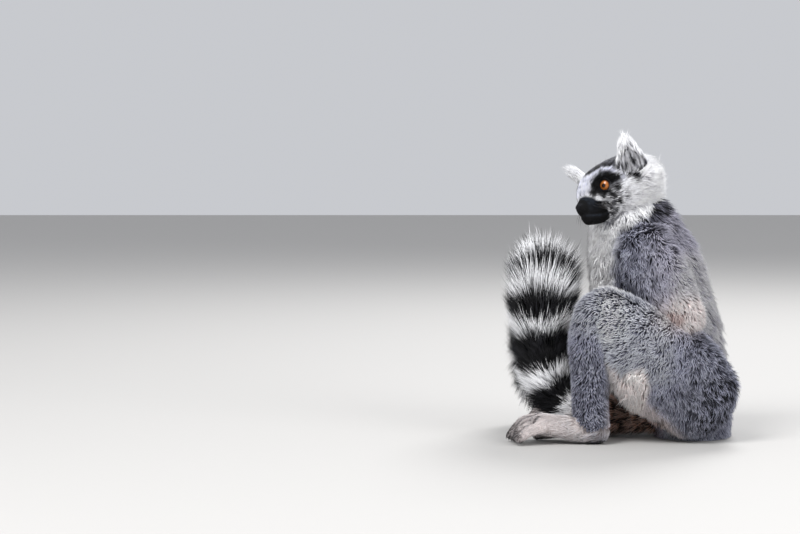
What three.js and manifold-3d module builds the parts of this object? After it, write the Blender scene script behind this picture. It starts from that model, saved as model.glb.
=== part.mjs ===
// A life-size ring-tailed lemur, sitting upright with its head turned and its tail raised in front.
// Millimetres. The animal faces -X, its left side is towards -Y, and it rests on the plane z = 0.
import * as THREE from "three";
import Module from "manifold-3d";
import { mergeVertices } from "three/addons/utils/BufferGeometryUtils.js";

// ---- Driving dimensions ----------------------------------------------------------------------

const JOINT_GAP = 0.36; // between neighbouring solids
const HALF_CUT = 0.18; // half of the thin cut that parts a long body

const HIP_HALF_SPAN = 48; // from the midline to the middle of each thigh at the hip
const KNEE_HALF_SPAN = 62;
const KNEE_HEIGHT = 140;
const ELBOW_HEIGHT = 130;
const SHOULDER_HEIGHT = 208;
const FAR_KNEE_BACK = 22; // how much further back the right knee is held

const EYE_RADIUS = 9;
const EYE_FORWARD = 1; // of the eyeballs' centres, from the point midway between the eyes
const EYE_HALF_SPAN = 15.8; // of the eyeballs' centres
const EYE_TURN_OUT = 30; // degrees between each eye's axis and the nose

const HEAD_AT = [-24, -18, 262.5]; // the point midway between the eyes
const HEAD_TURN = 37; // degrees towards the left
const HEAD_DIP = 11;
const HEAD_TILT = 20; // left ear up

const TAIL_LENGTHS = 8;

// ---- Colours ---------------------------------------------------------------------------------

const GREY_COAT = 0x8b8d95;
const BACK_COAT = 0x77757a;
const WHITE_COAT = 0xe4e3e2;
const CREAM_COAT = 0xb9b3aa;
const DARK_RING = 0x2a2827;
const NOSE_LEATHER = 0x14161b;
const AMBER_EYE = 0x9a4f16;

// ---- Solids ----------------------------------------------------------------------------------

const wasm = await Module();
wasm.setup();

/** A stock geometry with nothing but positions, its shared vertices merged. */
function merged(geometry) {
  geometry.deleteAttribute("normal");
  geometry.deleteAttribute("uv");
  return mergeVertices(geometry, 1e-4);
}

/** Turns a closed BufferGeometry with shared vertices into a manifold solid. */
function toSolid(geometry) {
  return new wasm.Manifold(
    new wasm.Mesh({
      numProp: 3,
      vertProperties: new Float32Array(geometry.attributes.position.array),
      triVerts: new Uint32Array(geometry.index.array),
    }),
  );
}

/** Turns a manifold solid back into a BufferGeometry. */
function toGeometry(solid) {
  const mesh = solid.getMesh();
  const geometry = new THREE.BufferGeometry();
  const step = mesh.numProp;
  const count = mesh.vertProperties.length / step;
  const positions = new Float32Array(count * 3);
  for (let i = 0; i < count; i += 1) {
    positions.set(mesh.vertProperties.subarray(i * step, i * step + 3), i * 3);
  }
  geometry.setAttribute("position", new THREE.BufferAttribute(positions, 3));
  geometry.setIndex(new THREE.BufferAttribute(new Uint32Array(mesh.triVerts), 1));
  geometry.computeVertexNormals();
  return geometry;
}

/** The largest of a solid's separate pieces, which drops slivers left by a cut. */
function largestPiece(solid) {
  const pieces = solid.decompose();
  return pieces.reduce((best, piece) => (piece.volume() > best.volume() ? piece : best));
}

/** A smooth curve through station values of one kind, sampled at t from 0 to 1. */
function along(values, t) {
  const place = t * (values.length - 1);
  const i = Math.min(Math.floor(place), values.length - 2);
  const f = place - i;
  const before = values[Math.max(i - 1, 0)];
  const after = values[Math.min(i + 2, values.length - 1)];
  const slopeIn = (values[i + 1] - before) / 2;
  const slopeOut = (after - values[i]) / 2;
  const f2 = f * f;
  const f3 = f2 * f;
  return (
    (2 * f3 - 3 * f2 + 1) * values[i] +
    (f3 - 2 * f2 + f) * slopeIn +
    (3 * f2 - 2 * f3) * values[i + 1] +
    (f3 - f2) * slopeOut
  );
}

/**
 * A closed body with oval rings square to a smooth line through stations [x, y, z, wide, deep].
 * wide is the half-size along the direction nearest to `across`, deep the one square to it.
 * An end is a dome of `dome` times its ring's size, or a flat cut where `from` or `to` is inside.
 */
function loft(shape, grow = 0) {
  const { stations, across = [0, 1, 0], rings = 9, sides = 14, dome = [0.6, 0.6] } = shape;
  const { from = 0, to = 1 } = shape;
  const column = (k) => stations.map((station) => station[k]);
  const columns = [0, 1, 2, 3, 4].map(column);
  const centreAt = (t) => new THREE.Vector3(...[0, 1, 2].map((k) => along(columns[k], t)));
  const tangentAt = (t) => {
    const a = centreAt(Math.max(t - 0.01, 0));
    return centreAt(Math.min(t + 0.01, 1)).sub(a).normalize();
  };
  const ringList = [];
  const addRing = (t, shift, scale) => {
    const tangent = tangentAt(t);
    const wideWay = new THREE.Vector3(...across).addScaledVector(
      tangent,
      -tangent.dot(new THREE.Vector3(...across)),
    );
    wideWay.normalize();
    const deepWay = new THREE.Vector3().crossVectors(tangent, wideWay);
    const centre = centreAt(t).addScaledVector(tangent, shift);
    const wide = (along(columns[3], t) + grow) * scale;
    const deep = (along(columns[4], t) + grow) * scale;
    ringList.push({ centre, wideWay, deepWay, wide, deep });
  };
  const domeSteps = sides > 8 ? [0.5, 0.85] : [0.75];
  const domeLength = (t, share) => {
    return share * 0.5 * (along(columns[3], t) + along(columns[4], t)) + grow;
  };
  const roundStart = from === 0;
  const roundEnd = to === 1;
  const poles = [];
  if (roundStart) {
    const reach = domeLength(0, dome[0]);
    poles.push(centreAt(0).addScaledVector(tangentAt(0), -reach));
    [...domeSteps].reverse().forEach((s) => addRing(0, -reach * s, Math.sqrt(1 - s * s)));
  } else {
    poles.push(centreAt(from).addScaledVector(tangentAt(from), HALF_CUT - grow));
  }
  for (let i = 0; i < rings; i += 1) {
    const t = from + ((to - from) * i) / (rings - 1);
    const atCut = (i === 0 && !roundStart) || (i === rings - 1 && !roundEnd);
    const inward = i === 0 ? 1 : -1;
    addRing(t, atCut ? inward * (HALF_CUT - grow) : 0, 1);
  }
  if (roundEnd) {
    const reach = domeLength(1, dome[1]);
    domeSteps.forEach((s) => addRing(1, reach * s, Math.sqrt(1 - s * s)));
    poles.push(centreAt(1).addScaledVector(tangentAt(1), reach));
  } else {
    poles.push(centreAt(to).addScaledVector(tangentAt(to), grow - HALF_CUT));
  }
  const points = [];
  ringList.forEach((ring) => {
    for (let j = 0; j < sides; j += 1) {
      const angle = (2 * Math.PI * j) / sides;
      const point = ring.centre.clone();
      point.addScaledVector(ring.wideWay, ring.wide * Math.cos(angle));
      point.addScaledVector(ring.deepWay, ring.deep * Math.sin(angle));
      points.push(point);
    }
  });
  return closedRings(points, ringList.length, sides, poles);
}

/** Joins rings of points into one closed geometry, with a pole point beyond each end. */
function closedRings(points, ringCount, sides, poles) {
  const index = [];
  const first = points.length;
  const last = first + 1;
  const all = [...points, ...poles];
  for (let j = 0; j < sides; j += 1) {
    const k = (j + 1) % sides;
    index.push(first, k, j);
    const end = (ringCount - 1) * sides;
    index.push(last, end + j, end + k);
    for (let i = 0; i < ringCount - 1; i += 1) {
      const a = i * sides;
      const b = a + sides;
      index.push(a + j, a + k, b + k, a + j, b + k, b + j);
    }
  }
  const geometry = new THREE.BufferGeometry();
  const flat = new Float32Array(all.flatMap((p) => [p.x, p.y, p.z]));
  geometry.setAttribute("position", new THREE.BufferAttribute(flat, 3));
  geometry.setIndex(index);
  return geometry;
}

/** Several lofts joined into one solid, such as a palm and its fingers. */
function joinedLofts(shapes, grow, place = null) {
  let whole = null;
  shapes.forEach((shape) => {
    const geometry = loft(shape, grow);
    if (place) geometry.applyMatrix4(place);
    const solid = toSolid(geometry);
    whole = whole ? whole.add(solid) : solid;
  });
  return whole;
}

// ---- Head ------------------------------------------------------------------------------------

const degrees = THREE.MathUtils.degToRad;

const headPlace = new THREE.Matrix4()
  .makeTranslation(...HEAD_AT)
  .multiply(new THREE.Matrix4().makeRotationZ(Math.PI + degrees(HEAD_TURN)))
  .multiply(new THREE.Matrix4().makeRotationY(degrees(HEAD_DIP)))
  .multiply(new THREE.Matrix4().makeRotationX(degrees(HEAD_TILT)));

/** The skull, cheeks and upper muzzle, from the nape forward. */
const headShape = {
  stations: [
    [-52, 2, -4.5, 29, 29],
    [-40, 2, -4.5, 41, 36.5],
    [-24, 1, -4, 41, 34.5],
    [-8, 0, -3.5, 33.5, 29],
    [5, 0, -5.5, 23, 22.5],
    [14, 0, -10, 15, 15],
    [23, 0, -12, 12.5, 11.5],
    [30, 0, -13.5, 10, 9],
  ],
  rings: 11,
  sides: 13,
  dome: [0.6, 0.5],
};

const jawShape = {
  stations: [
    [-2, 0, -23, 16, 11],
    [14, 0, -25.5, 12.5, 9.5],
    [28, 0, -25, 9, 9],
  ],
  rings: 4,
  sides: 10,
  dome: [0.5, 0.6],
};

const noseShape = {
  stations: [
    [30.5, 0, -11.5, 6.2, 5],
    [34.5, 0, -13, 5.6, 5],
  ],
  rings: 2,
  sides: 8,
  dome: [0.5, 0.5],
};

function earShape(side) {
  return {
    stations: [
      [-32, side * 24, 3, 18, 11],
      [-30, side * 34, 14, 19, 10],
      [-26, side * 42, 27, 15, 8],
      [-19, side * 49, 39, 8, 4.5],
      [-11, side * 55, 47, 1.8, 1.5],
    ],
    across: [1, 0, -0.3],
    rings: 7,
    sides: 9,
    dome: [0.4, 0.8],
  };
}

function eyeSolid(side, grow) {
  const outward = degrees(EYE_TURN_OUT);
  const ball = merged(new THREE.SphereGeometry(EYE_RADIUS + grow, 12, 7));
  const centre = [EYE_FORWARD, side * EYE_HALF_SPAN, 0];
  ball.rotateY(Math.PI / 2);
  ball.rotateZ(side * outward);
  ball.translate(...centre);
  ball.applyMatrix4(headPlace);
  return toSolid(ball);
}

// ---- Trunk and neck --------------------------------------------------------------------------

/** From the seat up the back to the inside of the head. */
const trunkShape = {
  stations: [
    [78, 0, 4, 46, 42],
    [73, 0, 44, 54, 48],
    [60.5, 0, 86, 53, 53.5],
    [49, 0, 125, 50, 57],
    [31, 0, 163, 47, 64],
    [20, 0, 199, 43, 56.5],
    [11, 0, 230, 37, 46],
    [4, 0, 252, 33, 38],
  ],
  sides: 12,
  dome: [0.2, 0.3],
};

const TRUNK_PARTS = [
  { name: "rump", from: 0, to: 0.3, rings: 6 },
  { name: "belly", from: 0.3, to: 0.55, rings: 5 },
  { name: "chest", from: 0.55, to: 0.84, rings: 6 },
  { name: "neck", from: 0.84, to: 1, rings: 4 },
];

// ---- Limbs -----------------------------------------------------------------------------------

function thighShape(side, back) {
  return {
    stations: [
      [82, side * HIP_HALF_SPAN, 42, 34, 47],
      [54 + back * 0.3, side * 55, 70, 36, 55],
      [24 + back * 0.6, side * 60, 93, 34, 52],
      [-3 + back * 0.85, side * 62, 119, 30, 40],
      [-24 + back, side * KNEE_HALF_SPAN, KNEE_HEIGHT, 26, 28],
    ],
    rings: 7,
    sides: 11,
    dome: [0.75, 0.9],
  };
}

function shankShape(side, back) {
  return {
    stations: [
      [-30 + back, side * KNEE_HALF_SPAN, KNEE_HEIGHT - 3, 25, 25],
      [-34 + back, side * 62, 108, 24, 27],
      [-36 + back, side * 62, 74, 20, 22],
      [-36 + back, side * 62, 42, 18.5, 20.5],
      [-34 + back, side * 62, 18, 17.5, 19.5],
    ],
    rings: 7,
    sides: 10,
    dome: [0.5, 0.5],
  };
}

/** Sole, instep and five toes, the first one set apart on the inner side. */
function footShapes(side, back) {
  const middle = side * 63;
  const instep = {
    stations: [
      [-27 + back, middle, 12.5, 13, 13],
      [-48 + back, middle, 15.5, 13, 14],
      [-70 + back, middle, 18.5, 14, 12.5],
      [-89 + back, middle, 21.5, 16, 12],
    ],
    rings: 4,
    sides: 7,
    dome: [0.9, 0.5],
  };
  const toes = [-1.5, -0.5, 0.5, 1.5].map((slot) => {
    const inward = -slot * side; // the inner toes are higher at the knuckle and reach further
    return {
      stations: [
        [-84 + back, middle + slot * 8, 22 + inward * 1.4, 5.6, 7.5],
        [-101.5 + back - inward * 1.5, middle + slot * 9.5, 18.5 + inward * 2.2, 4.8, 6.5],
        [-114.4 + back - inward * 2.4, middle + slot * 10.5, 6.6, 4.3, 5],
      ],
      rings: 3,
      sides: 5,
      dome: [0.5, 0.8],
    };
  });
  const firstToe = {
    stations: [
      [-56 + back, middle - side * 8, 13, 8, 7],
      [-74 + back, middle - side * 21, 9, 6.5, 6.5],
      [-90 + back, middle - side * 26, 5.6, 5.6, 5],
    ],
    rings: 3,
    sides: 5,
    dome: [0.5, 0.8],
  };
  return [instep, ...toes, firstToe];
}

function upperArmShape(side) {
  return {
    stations: [
      [18, side * 34, SHOULDER_HEIGHT, 24, 34],
      [32, side * 47, 181, 26, 35],
      [49, side * 56, 154, 23, 29],
      [66, side * 60, ELBOW_HEIGHT, 20, 21],
    ],
    rings: 6,
    sides: 9,
    dome: [0.5, 0.9],
  };
}

function forearmShape(side, back) {
  return {
    stations: [
      [58, side * 56, 128, 16, 16],
      [30, side * 47, 129, 17, 16],
      [0, side * 35, 135, 14, 14],
      [-22 + back, side * 25, 139, 11, 11],
    ],
    rings: 5,
    sides: 9,
    dome: [0.8, 0.5],
  };
}

/** Palm, four fingers and a thumb, hanging down between the knees. */
function handShapes(side, back) {
  const middle = side * 22;
  const palm = {
    stations: [
      [-26 + back, middle, 139, 11, 10],
      [-36 + back, middle, 126, 13, 9],
      [-41 + back, middle, 111, 13.5, 8],
    ],
    rings: 3,
    sides: 7,
    dome: [0.6, 0.5],
  };
  const fingers = [-1.5, -0.5, 0.5, 1.5].map((slot) => ({
    stations: [
      [-40 + back, middle + slot * 6.4, 114, 4.6, 6],
      [-44 + back, middle + slot * 7, 98, 4.2, 5],
      [-43 + back, middle + slot * 7.2, 82 + 3 * Math.abs(slot), 3.6, 4],
    ],
    rings: 3,
    sides: 5,
    dome: [0.5, 0.9],
  }));
  const thumb = {
    stations: [
      [-33 + back, middle - side * 8, 124, 5.5, 5.5],
      [-36 + back, middle - side * 15, 112, 4.6, 4.6],
      [-38 + back, middle - side * 17, 103, 4, 4],
    ],
    rings: 3,
    sides: 5,
    dome: [0.5, 0.9],
  };
  return [palm, ...fingers, thumb];
}

// ---- Tail ------------------------------------------------------------------------------------

/** From the seat forward along the ground, up in front, over and down on the right side. */
const tailShape = {
  stations: [
    [62, 0, 24, 22, 22],
    [27, -2, 23, 23, 23],
    [-8, -3, 23, 24, 24],
    [-41, -5, 27, 27, 27],
    [-66, -6, 47, 31, 31],
    [-79, -7, 79, 34, 34],
    [-82, -6, 112, 38.5, 38.5],
    [-82, -3, 142, 42.5, 38],
    [-80, 12, 164, 43.5, 36],
    [-78, 39, 170, 42, 36],
    [-77, 66, 155, 38, 34],
    [-79, 80, 132, 32, 31],
    [-82, 88, 100, 30, 30],
    [-83, 95, 68, 28, 28],
    [-76, 101, 39, 26, 26],
    [-56, 104, 23, 23, 23],
    [-28, 105, 18, 17, 17],
    [-3, 104, 12, 8, 8],
  ],
  across: [1, 0.35, 0],
  sides: 11,
  dome: [0.6, 1.2],
};

// ---- Assembly --------------------------------------------------------------------------------

/** A part: its name, its colour, and a function that makes its solid, grown by a margin. */
function part(name, colour, makeSolid) {
  return { name, colour, makeSolid };
}

function loftPart(name, colour, shape, place = null) {
  return part(name, colour, (grow) => joinedLofts([shape], grow, place));
}

function sideName(side, piece) {
  return `${side < 0 ? "left" : "right"}_${piece}`;
}

/** Every part, each one cut back by all those before it in the list. */
function listParts() {
  const parts = [];
  const sides = [-1, 1];
  const headSide = (side) => -side; // in the head's own axes the left is +y
  sides.forEach((side) => {
    parts.push(part(sideName(side, "eye"), AMBER_EYE, (grow) => eyeSolid(headSide(side), grow)));
  });
  parts.push(loftPart("nose", NOSE_LEATHER, noseShape, headPlace));
  parts.push(loftPart("head", WHITE_COAT, headShape, headPlace));
  parts.push(loftPart("lower_jaw", DARK_RING, jawShape, headPlace));
  sides.forEach((side) => {
    parts.push(loftPart(sideName(side, "ear"), WHITE_COAT, earShape(headSide(side)), headPlace));
  });
  const backOf = (side) => (side > 0 ? FAR_KNEE_BACK : 0);
  sides.forEach((side) => {
    parts.push(loftPart(sideName(side, "forearm"), GREY_COAT, forearmShape(side, backOf(side))));
  });
  TRUNK_PARTS.forEach(({ name, from, to, rings }) => {
    const colour = name === "rump" || name === "neck" ? BACK_COAT : WHITE_COAT;
    parts.push(loftPart(name, colour, { ...trunkShape, from, to, rings }));
  });
  for (let i = 0; i < TAIL_LENGTHS; i += 1) {
    const colour = i % 2 ? DARK_RING : CREAM_COAT;
    const span = { from: i / TAIL_LENGTHS, to: (i + 1) / TAIL_LENGTHS, rings: 5 };
    parts.push(loftPart(`tail_${i + 1}`, colour, { ...tailShape, ...span }));
  }
  sides.forEach((side) => {
    const back = backOf(side);
    const { name, colour } = { name: (piece) => sideName(side, piece), colour: GREY_COAT };
    parts.push(loftPart(name("thigh"), colour, thighShape(side, back)));
    parts.push(loftPart(name("shank"), colour, shankShape(side, back)));
    parts.push(loftPart(name("upper_arm"), colour, upperArmShape(side)));
    const foot = footShapes(side, back);
    parts.push(part(name("foot"), CREAM_COAT, (grow) => joinedLofts(foot, grow)));
    const hand = handShapes(side, back);
    parts.push(part(name("hand"), CREAM_COAT, (grow) => joinedLofts(hand, grow)));
  });
  return parts;
}

/** Cuts each part back from its earlier neighbours and from the ground. */
function assemble(parts) {
  const below = merged(new THREE.BoxGeometry(1000, 1000, 200));
  below.translate(0, 0, -100);
  const ground = toSolid(below);
  const grownParts = [];
  const group = new THREE.Group();
  parts.forEach(({ name, colour, makeSolid }) => {
    let solid = makeSolid(0).subtract(ground);
    grownParts.forEach((grown) => {
      solid = solid.subtract(grown);
    });
    grownParts.push(makeSolid(JOINT_GAP));
    const skin = new THREE.MeshStandardMaterial({ color: colour, roughness: 0.9, metalness: 0 });
    if (colour === AMBER_EYE || colour === NOSE_LEATHER) skin.roughness = 0.25;
    const mesh = new THREE.Mesh(toGeometry(largestPiece(solid)), skin);
    mesh.name = name;
    group.add(mesh);
  });
  return group;
}

/** Moves the animal so that the origin is at the middle of its footprint, on the ground. */
function centred(animal) {
  const box = new THREE.Box3().setFromObject(animal);
  const middle = box.getCenter(new THREE.Vector3());
  animal.position.set(-middle.x, -middle.y, -box.min.z);
  const root = new THREE.Group();
  root.add(animal);
  return root;
}

const group = centred(assemble(listParts()));
export default group;
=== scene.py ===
"""A sitting ring-tailed lemur: one skin, a coat of tufts over it, eyes, nose, nails and whiskers.

Body shapes are laid out in millimetres in the animal's own axes (it faces -X, its left is -Y, and it
rests on z = 0) and are moved to the frame and turned into metres when their meshes are made.
"""
import logging
import math
from dataclasses import dataclass, field
from enum import Enum

import bpy
import numpy as np
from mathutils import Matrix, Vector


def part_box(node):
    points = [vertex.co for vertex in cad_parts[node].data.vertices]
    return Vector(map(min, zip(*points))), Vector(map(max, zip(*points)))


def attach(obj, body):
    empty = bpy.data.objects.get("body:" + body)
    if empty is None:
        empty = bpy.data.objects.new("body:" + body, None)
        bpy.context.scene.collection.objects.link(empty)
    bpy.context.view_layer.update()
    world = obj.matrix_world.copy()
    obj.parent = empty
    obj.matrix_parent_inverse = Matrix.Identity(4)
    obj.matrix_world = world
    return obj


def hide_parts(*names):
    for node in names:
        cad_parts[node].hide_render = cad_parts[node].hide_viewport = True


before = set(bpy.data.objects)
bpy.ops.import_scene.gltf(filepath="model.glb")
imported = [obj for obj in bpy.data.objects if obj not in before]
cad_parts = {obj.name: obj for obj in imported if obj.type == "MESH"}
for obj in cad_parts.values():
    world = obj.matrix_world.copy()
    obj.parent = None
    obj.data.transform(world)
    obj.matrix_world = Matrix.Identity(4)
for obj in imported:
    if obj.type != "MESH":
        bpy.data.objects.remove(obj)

log = logging.getLogger("lemur")
Array = np.ndarray
Triple = tuple[float, float, float]
MM = 0.001
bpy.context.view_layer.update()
BODY = "root"

# ---- Driving sizes of the head, legs and arms ---------------------------------------------------

HEAD_AT = np.array([-24.0, -18.0, 262.5])  # midway between the eyes
HEAD_TURN, HEAD_DIP, HEAD_TILT = 37.0, 11.0, 20.0  # degrees
EYE_RADIUS = 9.0
EYE_CENTRE = np.array([1.0, 15.8, 0.0])  # of the left eyeball, in the head's axes
EYE_TURN_OUT = 30.0
HIP_SPAN, KNEE_SPAN, KNEE_HEIGHT = 48.0, 62.0, 140.0
ELBOW_HEIGHT, SHOULDER_HEIGHT = 130.0, 208.0
RIGHT_KNEE_BACK = 22.0
FOOT_SPAN, HAND_SPAN, TOE_STEP = 63.0, 22.0, 8.0
DIGIT_SLOTS = (-1.5, -0.5, 0.5, 1.5)  # the four long fingers or toes, in steps from the middle
TAIL_CORE = 9.0  # radius of the tail's flesh
FACE_REACH = 60.0  # hair this near HEAD_AT is on the head
OPEN_AIR = 20.0  # the field's value well away from the body
FAR = 99.0  # more than any measured distance


# ---- Small maths --------------------------------------------------------------------------------


def unit(v: Array) -> Array:
    """Returns vectors scaled to length 1."""
    return v / np.maximum(np.linalg.norm(v, axis=-1, keepdims=True), 1e-9)


def dot(a: Array, b: Array) -> Array:
    """Returns row-by-row dot products."""
    return np.sum(a * b, axis=-1)


def rise(low: float, high: float, x: Array) -> Array:
    """Returns a smooth step from 0 at low to 1 at high."""
    s = np.clip((x - low) / (high - low), 0.0, 1.0)
    return s * s * (3.0 - 2.0 * s)


def mix(a: Array, b: Array, share: Array) -> Array:
    """Returns a blended towards b by a share for each row."""
    share = np.asarray(share)[..., None]
    return a * (1.0 - share) + b * share


def hump(*offs: Array) -> Array:
    """Returns a smooth hump that is 1 where every offset is 0."""
    return np.exp(-sum(off * off for off in offs))


def turn(axis: int, degrees: float) -> Array:
    """Returns the matrix of a turn about one axis.

    Args:
        axis: 0, 1 or 2 for X, Y or Z.
        degrees: Angle, by the right-hand rule.

    Returns:
        A 3 by 3 matrix.
    """
    c, s = math.cos(math.radians(degrees)), math.sin(math.radians(degrees))
    m = np.eye(3)
    i, j = (axis + 1) % 3, (axis + 2) % 3
    m[i, i], m[i, j], m[j, i], m[j, j] = c, -s, s, c
    return m


HEAD_AXES = turn(2, 180.0 + HEAD_TURN) @ turn(1, HEAD_DIP) @ turn(0, HEAD_TILT)


def to_head(points: Array) -> Array:
    """Returns points of the body's axes in the head's: forward, left, up."""
    return (points - HEAD_AT) @ HEAD_AXES


def from_head(points: Array) -> Array:
    """Returns points of the head's axes in the body's."""
    return points @ HEAD_AXES.T + HEAD_AT


def frame_shift() -> Array:
    """Finds the step from the animal's axes to the frame, from the left eyeball.

    Returns:
        The step, in millimetres.
    """
    low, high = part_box("left_eye")
    middle = (np.array(low) + np.array(high)) / 2.0
    return middle / MM - from_head(EYE_CENTRE)


SHIFT = frame_shift()


class Noise:
    """Smooth random values in space from a repeating lattice."""

    def __init__(self, seed: int, size: int = 24) -> None:
        """Fills the lattice.

        Args:
            seed: Starts the random draw.
            size: Lattice points along each side.
        """
        self.size = size
        self.table = np.random.default_rng(seed).random((size, size, size))

    def at(self, points: Array, scale: float) -> Array:
        """Samples the noise.

        Args:
            points: Places, in millimetres.
            scale: Size of one bump, in millimetres.

        Returns:
            A value from -1 to 1 for each point.
        """
        place = points / scale
        base = np.floor(place).astype(int)
        f = place - base
        f = f * f * (3.0 - 2.0 * f)
        total = np.zeros(len(points))
        for corner in np.ndindex(2, 2, 2):
            idx = (base + corner) % self.size
            weight = np.prod(np.where(np.array(corner) == 1, f, 1.0 - f), axis=1)
            total += weight * self.table[idx[:, 0], idx[:, 1], idx[:, 2]]
        return total * 2.0 - 1.0


# ---- The body as lengths of oval section --------------------------------------------------------


def side_name(side: int) -> str:
    """Returns the name of a side of the body: -1 is the left."""
    return "left" if side < 0 else "right"


class Zone(Enum):
    """Parts of the coat that grow and are coloured alike."""

    TRUNK = "trunk"
    LEG = "leg"
    FOOT = "foot"
    ARM = "arm"
    HAND = "hand"
    TAIL = "tail"
    HEAD = "head"
    EAR = "ear"


ZONES = list(Zone)


def in_zone(zones: Array, *kinds: Zone) -> Array:
    """Returns which places, given by their zone numbers, are in some zones."""
    return np.isin(zones, [ZONES.index(kind) for kind in kinds])


def along(values: Array, t: Array) -> Array:
    """Returns a smooth curve through station values.

    Args:
        values: One row for each station.
        t: Places from 0 at the first station to 1 at the last.

    Returns:
        The curve's value at each place.
    """
    place = np.clip(t, 0.0, 1.0) * (len(values) - 1)
    i = np.minimum(place.astype(int), len(values) - 2)
    f = (place - i)[:, None]
    before, after = values[np.maximum(i - 1, 0)], values[np.minimum(i + 2, len(values) - 1)]
    slope_in, slope_out = (values[i + 1] - before) / 2.0, (after - values[i]) / 2.0
    return (
        (2 * f**3 - 3 * f**2 + 1) * values[i]
        + (f**3 - 2 * f**2 + f) * slope_in
        + (3 * f**2 - 2 * f**3) * values[i + 1]
        + (f**3 - f**2) * slope_out
    )


@dataclass(frozen=True)
class Length:
    """One length of the body: oval rings on a smooth line.

    Each station is x, y, z, half-width, half-depth out to the coat's tips, and the coat's depth.
    """

    name: str
    zone: Zone
    stations: tuple[tuple[float, ...], ...]
    across: Triple = (0.0, 1.0, 0.0)
    dome: tuple[float, float] = (0.6, 0.6)
    lie: float = 1.0
    blend: float = 5.0
    on_head: bool = False
    steps: int = 4
    comb: tuple[Triple, Triple] | None = None  # lies at both ends, where not along the length

    def rings(self) -> "Rings":
        """Works out the length's rings.

        Returns:
            The rings, in the body's axes.
        """
        table = np.array(self.stations, float)
        count = (len(table) - 1) * self.steps + 1
        t = np.linspace(0.0, 1.0, count)
        values = along(table, t)
        centre, across = values[:, :3], np.array(self.across, float)
        if self.on_head:
            centre, across = from_head(centre), HEAD_AXES @ across
        coat = values[:, 5]
        flesh = np.maximum(values[:, 3:5] - coat[:, None], 0.6)
        reach = (values[[0, -1], 3] + values[[0, -1], 4]) / 2.0 * self.dome - coat[[0, -1]]
        return Rings(self, centre, across, flesh, coat, t, np.maximum(reach, 0.8))


@dataclass
class Rings:
    """The rings of one length, ready to measure places against."""

    length: Length
    centre: Array
    across: Array
    flesh: Array
    coat: Array
    t: Array
    reach: Array

    def piece(self, k: int, x: Array, y: Array, z: Array) -> tuple[Array, Array, Array]:
        """Measures places against one pair of rings.

        Args:
            k: The first ring's number.
            x: First coordinates.
            y: Second coordinates.
            z: Third coordinates.

        Returns:
            Rough distance from the surface, share of the way to the next ring, and angle.
        """
        start, step = self.centre[k], self.centre[k + 1] - self.centre[k]
        span = float(np.linalg.norm(step))
        way = step / span
        wide = unit(self.across - way * float(way @ self.across))
        deep = np.cross(way, wide)

        def measure(v: Array) -> Array:
            """Returns how far the places are from the start along a direction."""
            return x * v[0] + y * v[1] + z * v[2] - float(start @ v)

        raw = measure(way) / span
        s = np.clip(raw, 0.0, 1.0)
        a = self.flesh[k, 0] * (1 - s) + self.flesh[k + 1, 0] * s
        b = self.flesh[k, 1] * (1 - s) + self.flesh[k + 1, 1] * s
        mean = np.sqrt(a * b)
        u, v, over = measure(wide) / a, measure(deep) / b, (raw - s) * span
        cap = mean
        if k == 0:
            cap = np.where(raw < 0, self.reach[0], cap)
        if k == len(self.centre) - 2:
            cap = np.where(raw > 1, self.reach[1], cap)
        distance = (np.sqrt(u * u + v * v + (over / cap) ** 2) - 1.0) * np.minimum(mean, cap + 8.0)
        return distance, s, np.arctan2(v, u)

    def locate(self, points: Array, margin: float = 30.0) -> tuple[Array, Array, Array, Array]:
        """Finds where points lie on the length.

        Args:
            points: Places in the body's axes.
            margin: How far from the length they are still measured.

        Returns:
            Distance, place along from 0 to 1, angle round, and way towards the last ring.
        """
        reach = self.flesh.max() + margin
        near = np.all(
            (points > self.centre.min(0) - reach) & (points < self.centre.max(0) + reach), axis=1
        )
        best = np.full(len(points), FAR)
        place, angle, ways = np.zeros(len(points)), np.zeros(len(points)), np.zeros_like(points)
        ids = np.flatnonzero(near)
        p = points[ids]
        first_step = self.centre[1] - self.centre[0]
        start_share = (p - self.centre[0]) @ first_step / float(first_step @ first_step)
        for k in range(len(self.centre) - 1):
            distance, s, turn_to = self.piece(k, *p.T)
            better = distance < best[ids]
            chosen = ids[better]
            best[chosen] = distance[better]
            place[chosen] = (self.t[k] * (1 - s) + self.t[k + 1] * s)[better]
            angle[chosen] = turn_to[better]
            behind = np.clip(-start_share[better] * 1.5, 0.0, 1.0) * float(k == 0)
            way = unit(self.centre[k + 1] - self.centre[k])
            if self.length.comb:
                first, last = (np.array(v) for v in self.length.comb)
                ways[chosen] = mix(first, last, rise(0.1, 0.75, place[chosen]))
            else:
                ways[chosen] = way * (1.0 - 0.85 * behind)[..., None]
        return best, place, angle, ways


def trunk_lengths() -> list[Length]:
    """Lays out the trunk and neck, from the seat up to the inside of the head.

    Returns:
        Their one length.
    """
    stations = (
        (78, 0, 4, 46, 42, 8),
        (73, 0, 44, 54, 48, 9),
        (60.5, 0, 86, 53, 53.5, 10),
        (49, 0, 125, 50, 57, 11),
        (31, 0, 163, 47, 64, 11),
        (20, 0, 199, 43, 56.5, 12),
        (11, 0, 230, 37, 46, 12),
        (4, 0, 252, 33, 38, 12),
    )
    return [Length("trunk", Zone.TRUNK, stations, dome=(0.2, 0.3), lie=-1.0)]


def digit(name: str, zone: Zone, stations: tuple[tuple[float, ...], ...], blend: float, tip: float) -> Length:
    """Returns a finger or toe; its tip is rounded by a share of its depth."""
    return Length(name, zone, stations, dome=(0.5, tip), blend=blend, steps=6)


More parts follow.
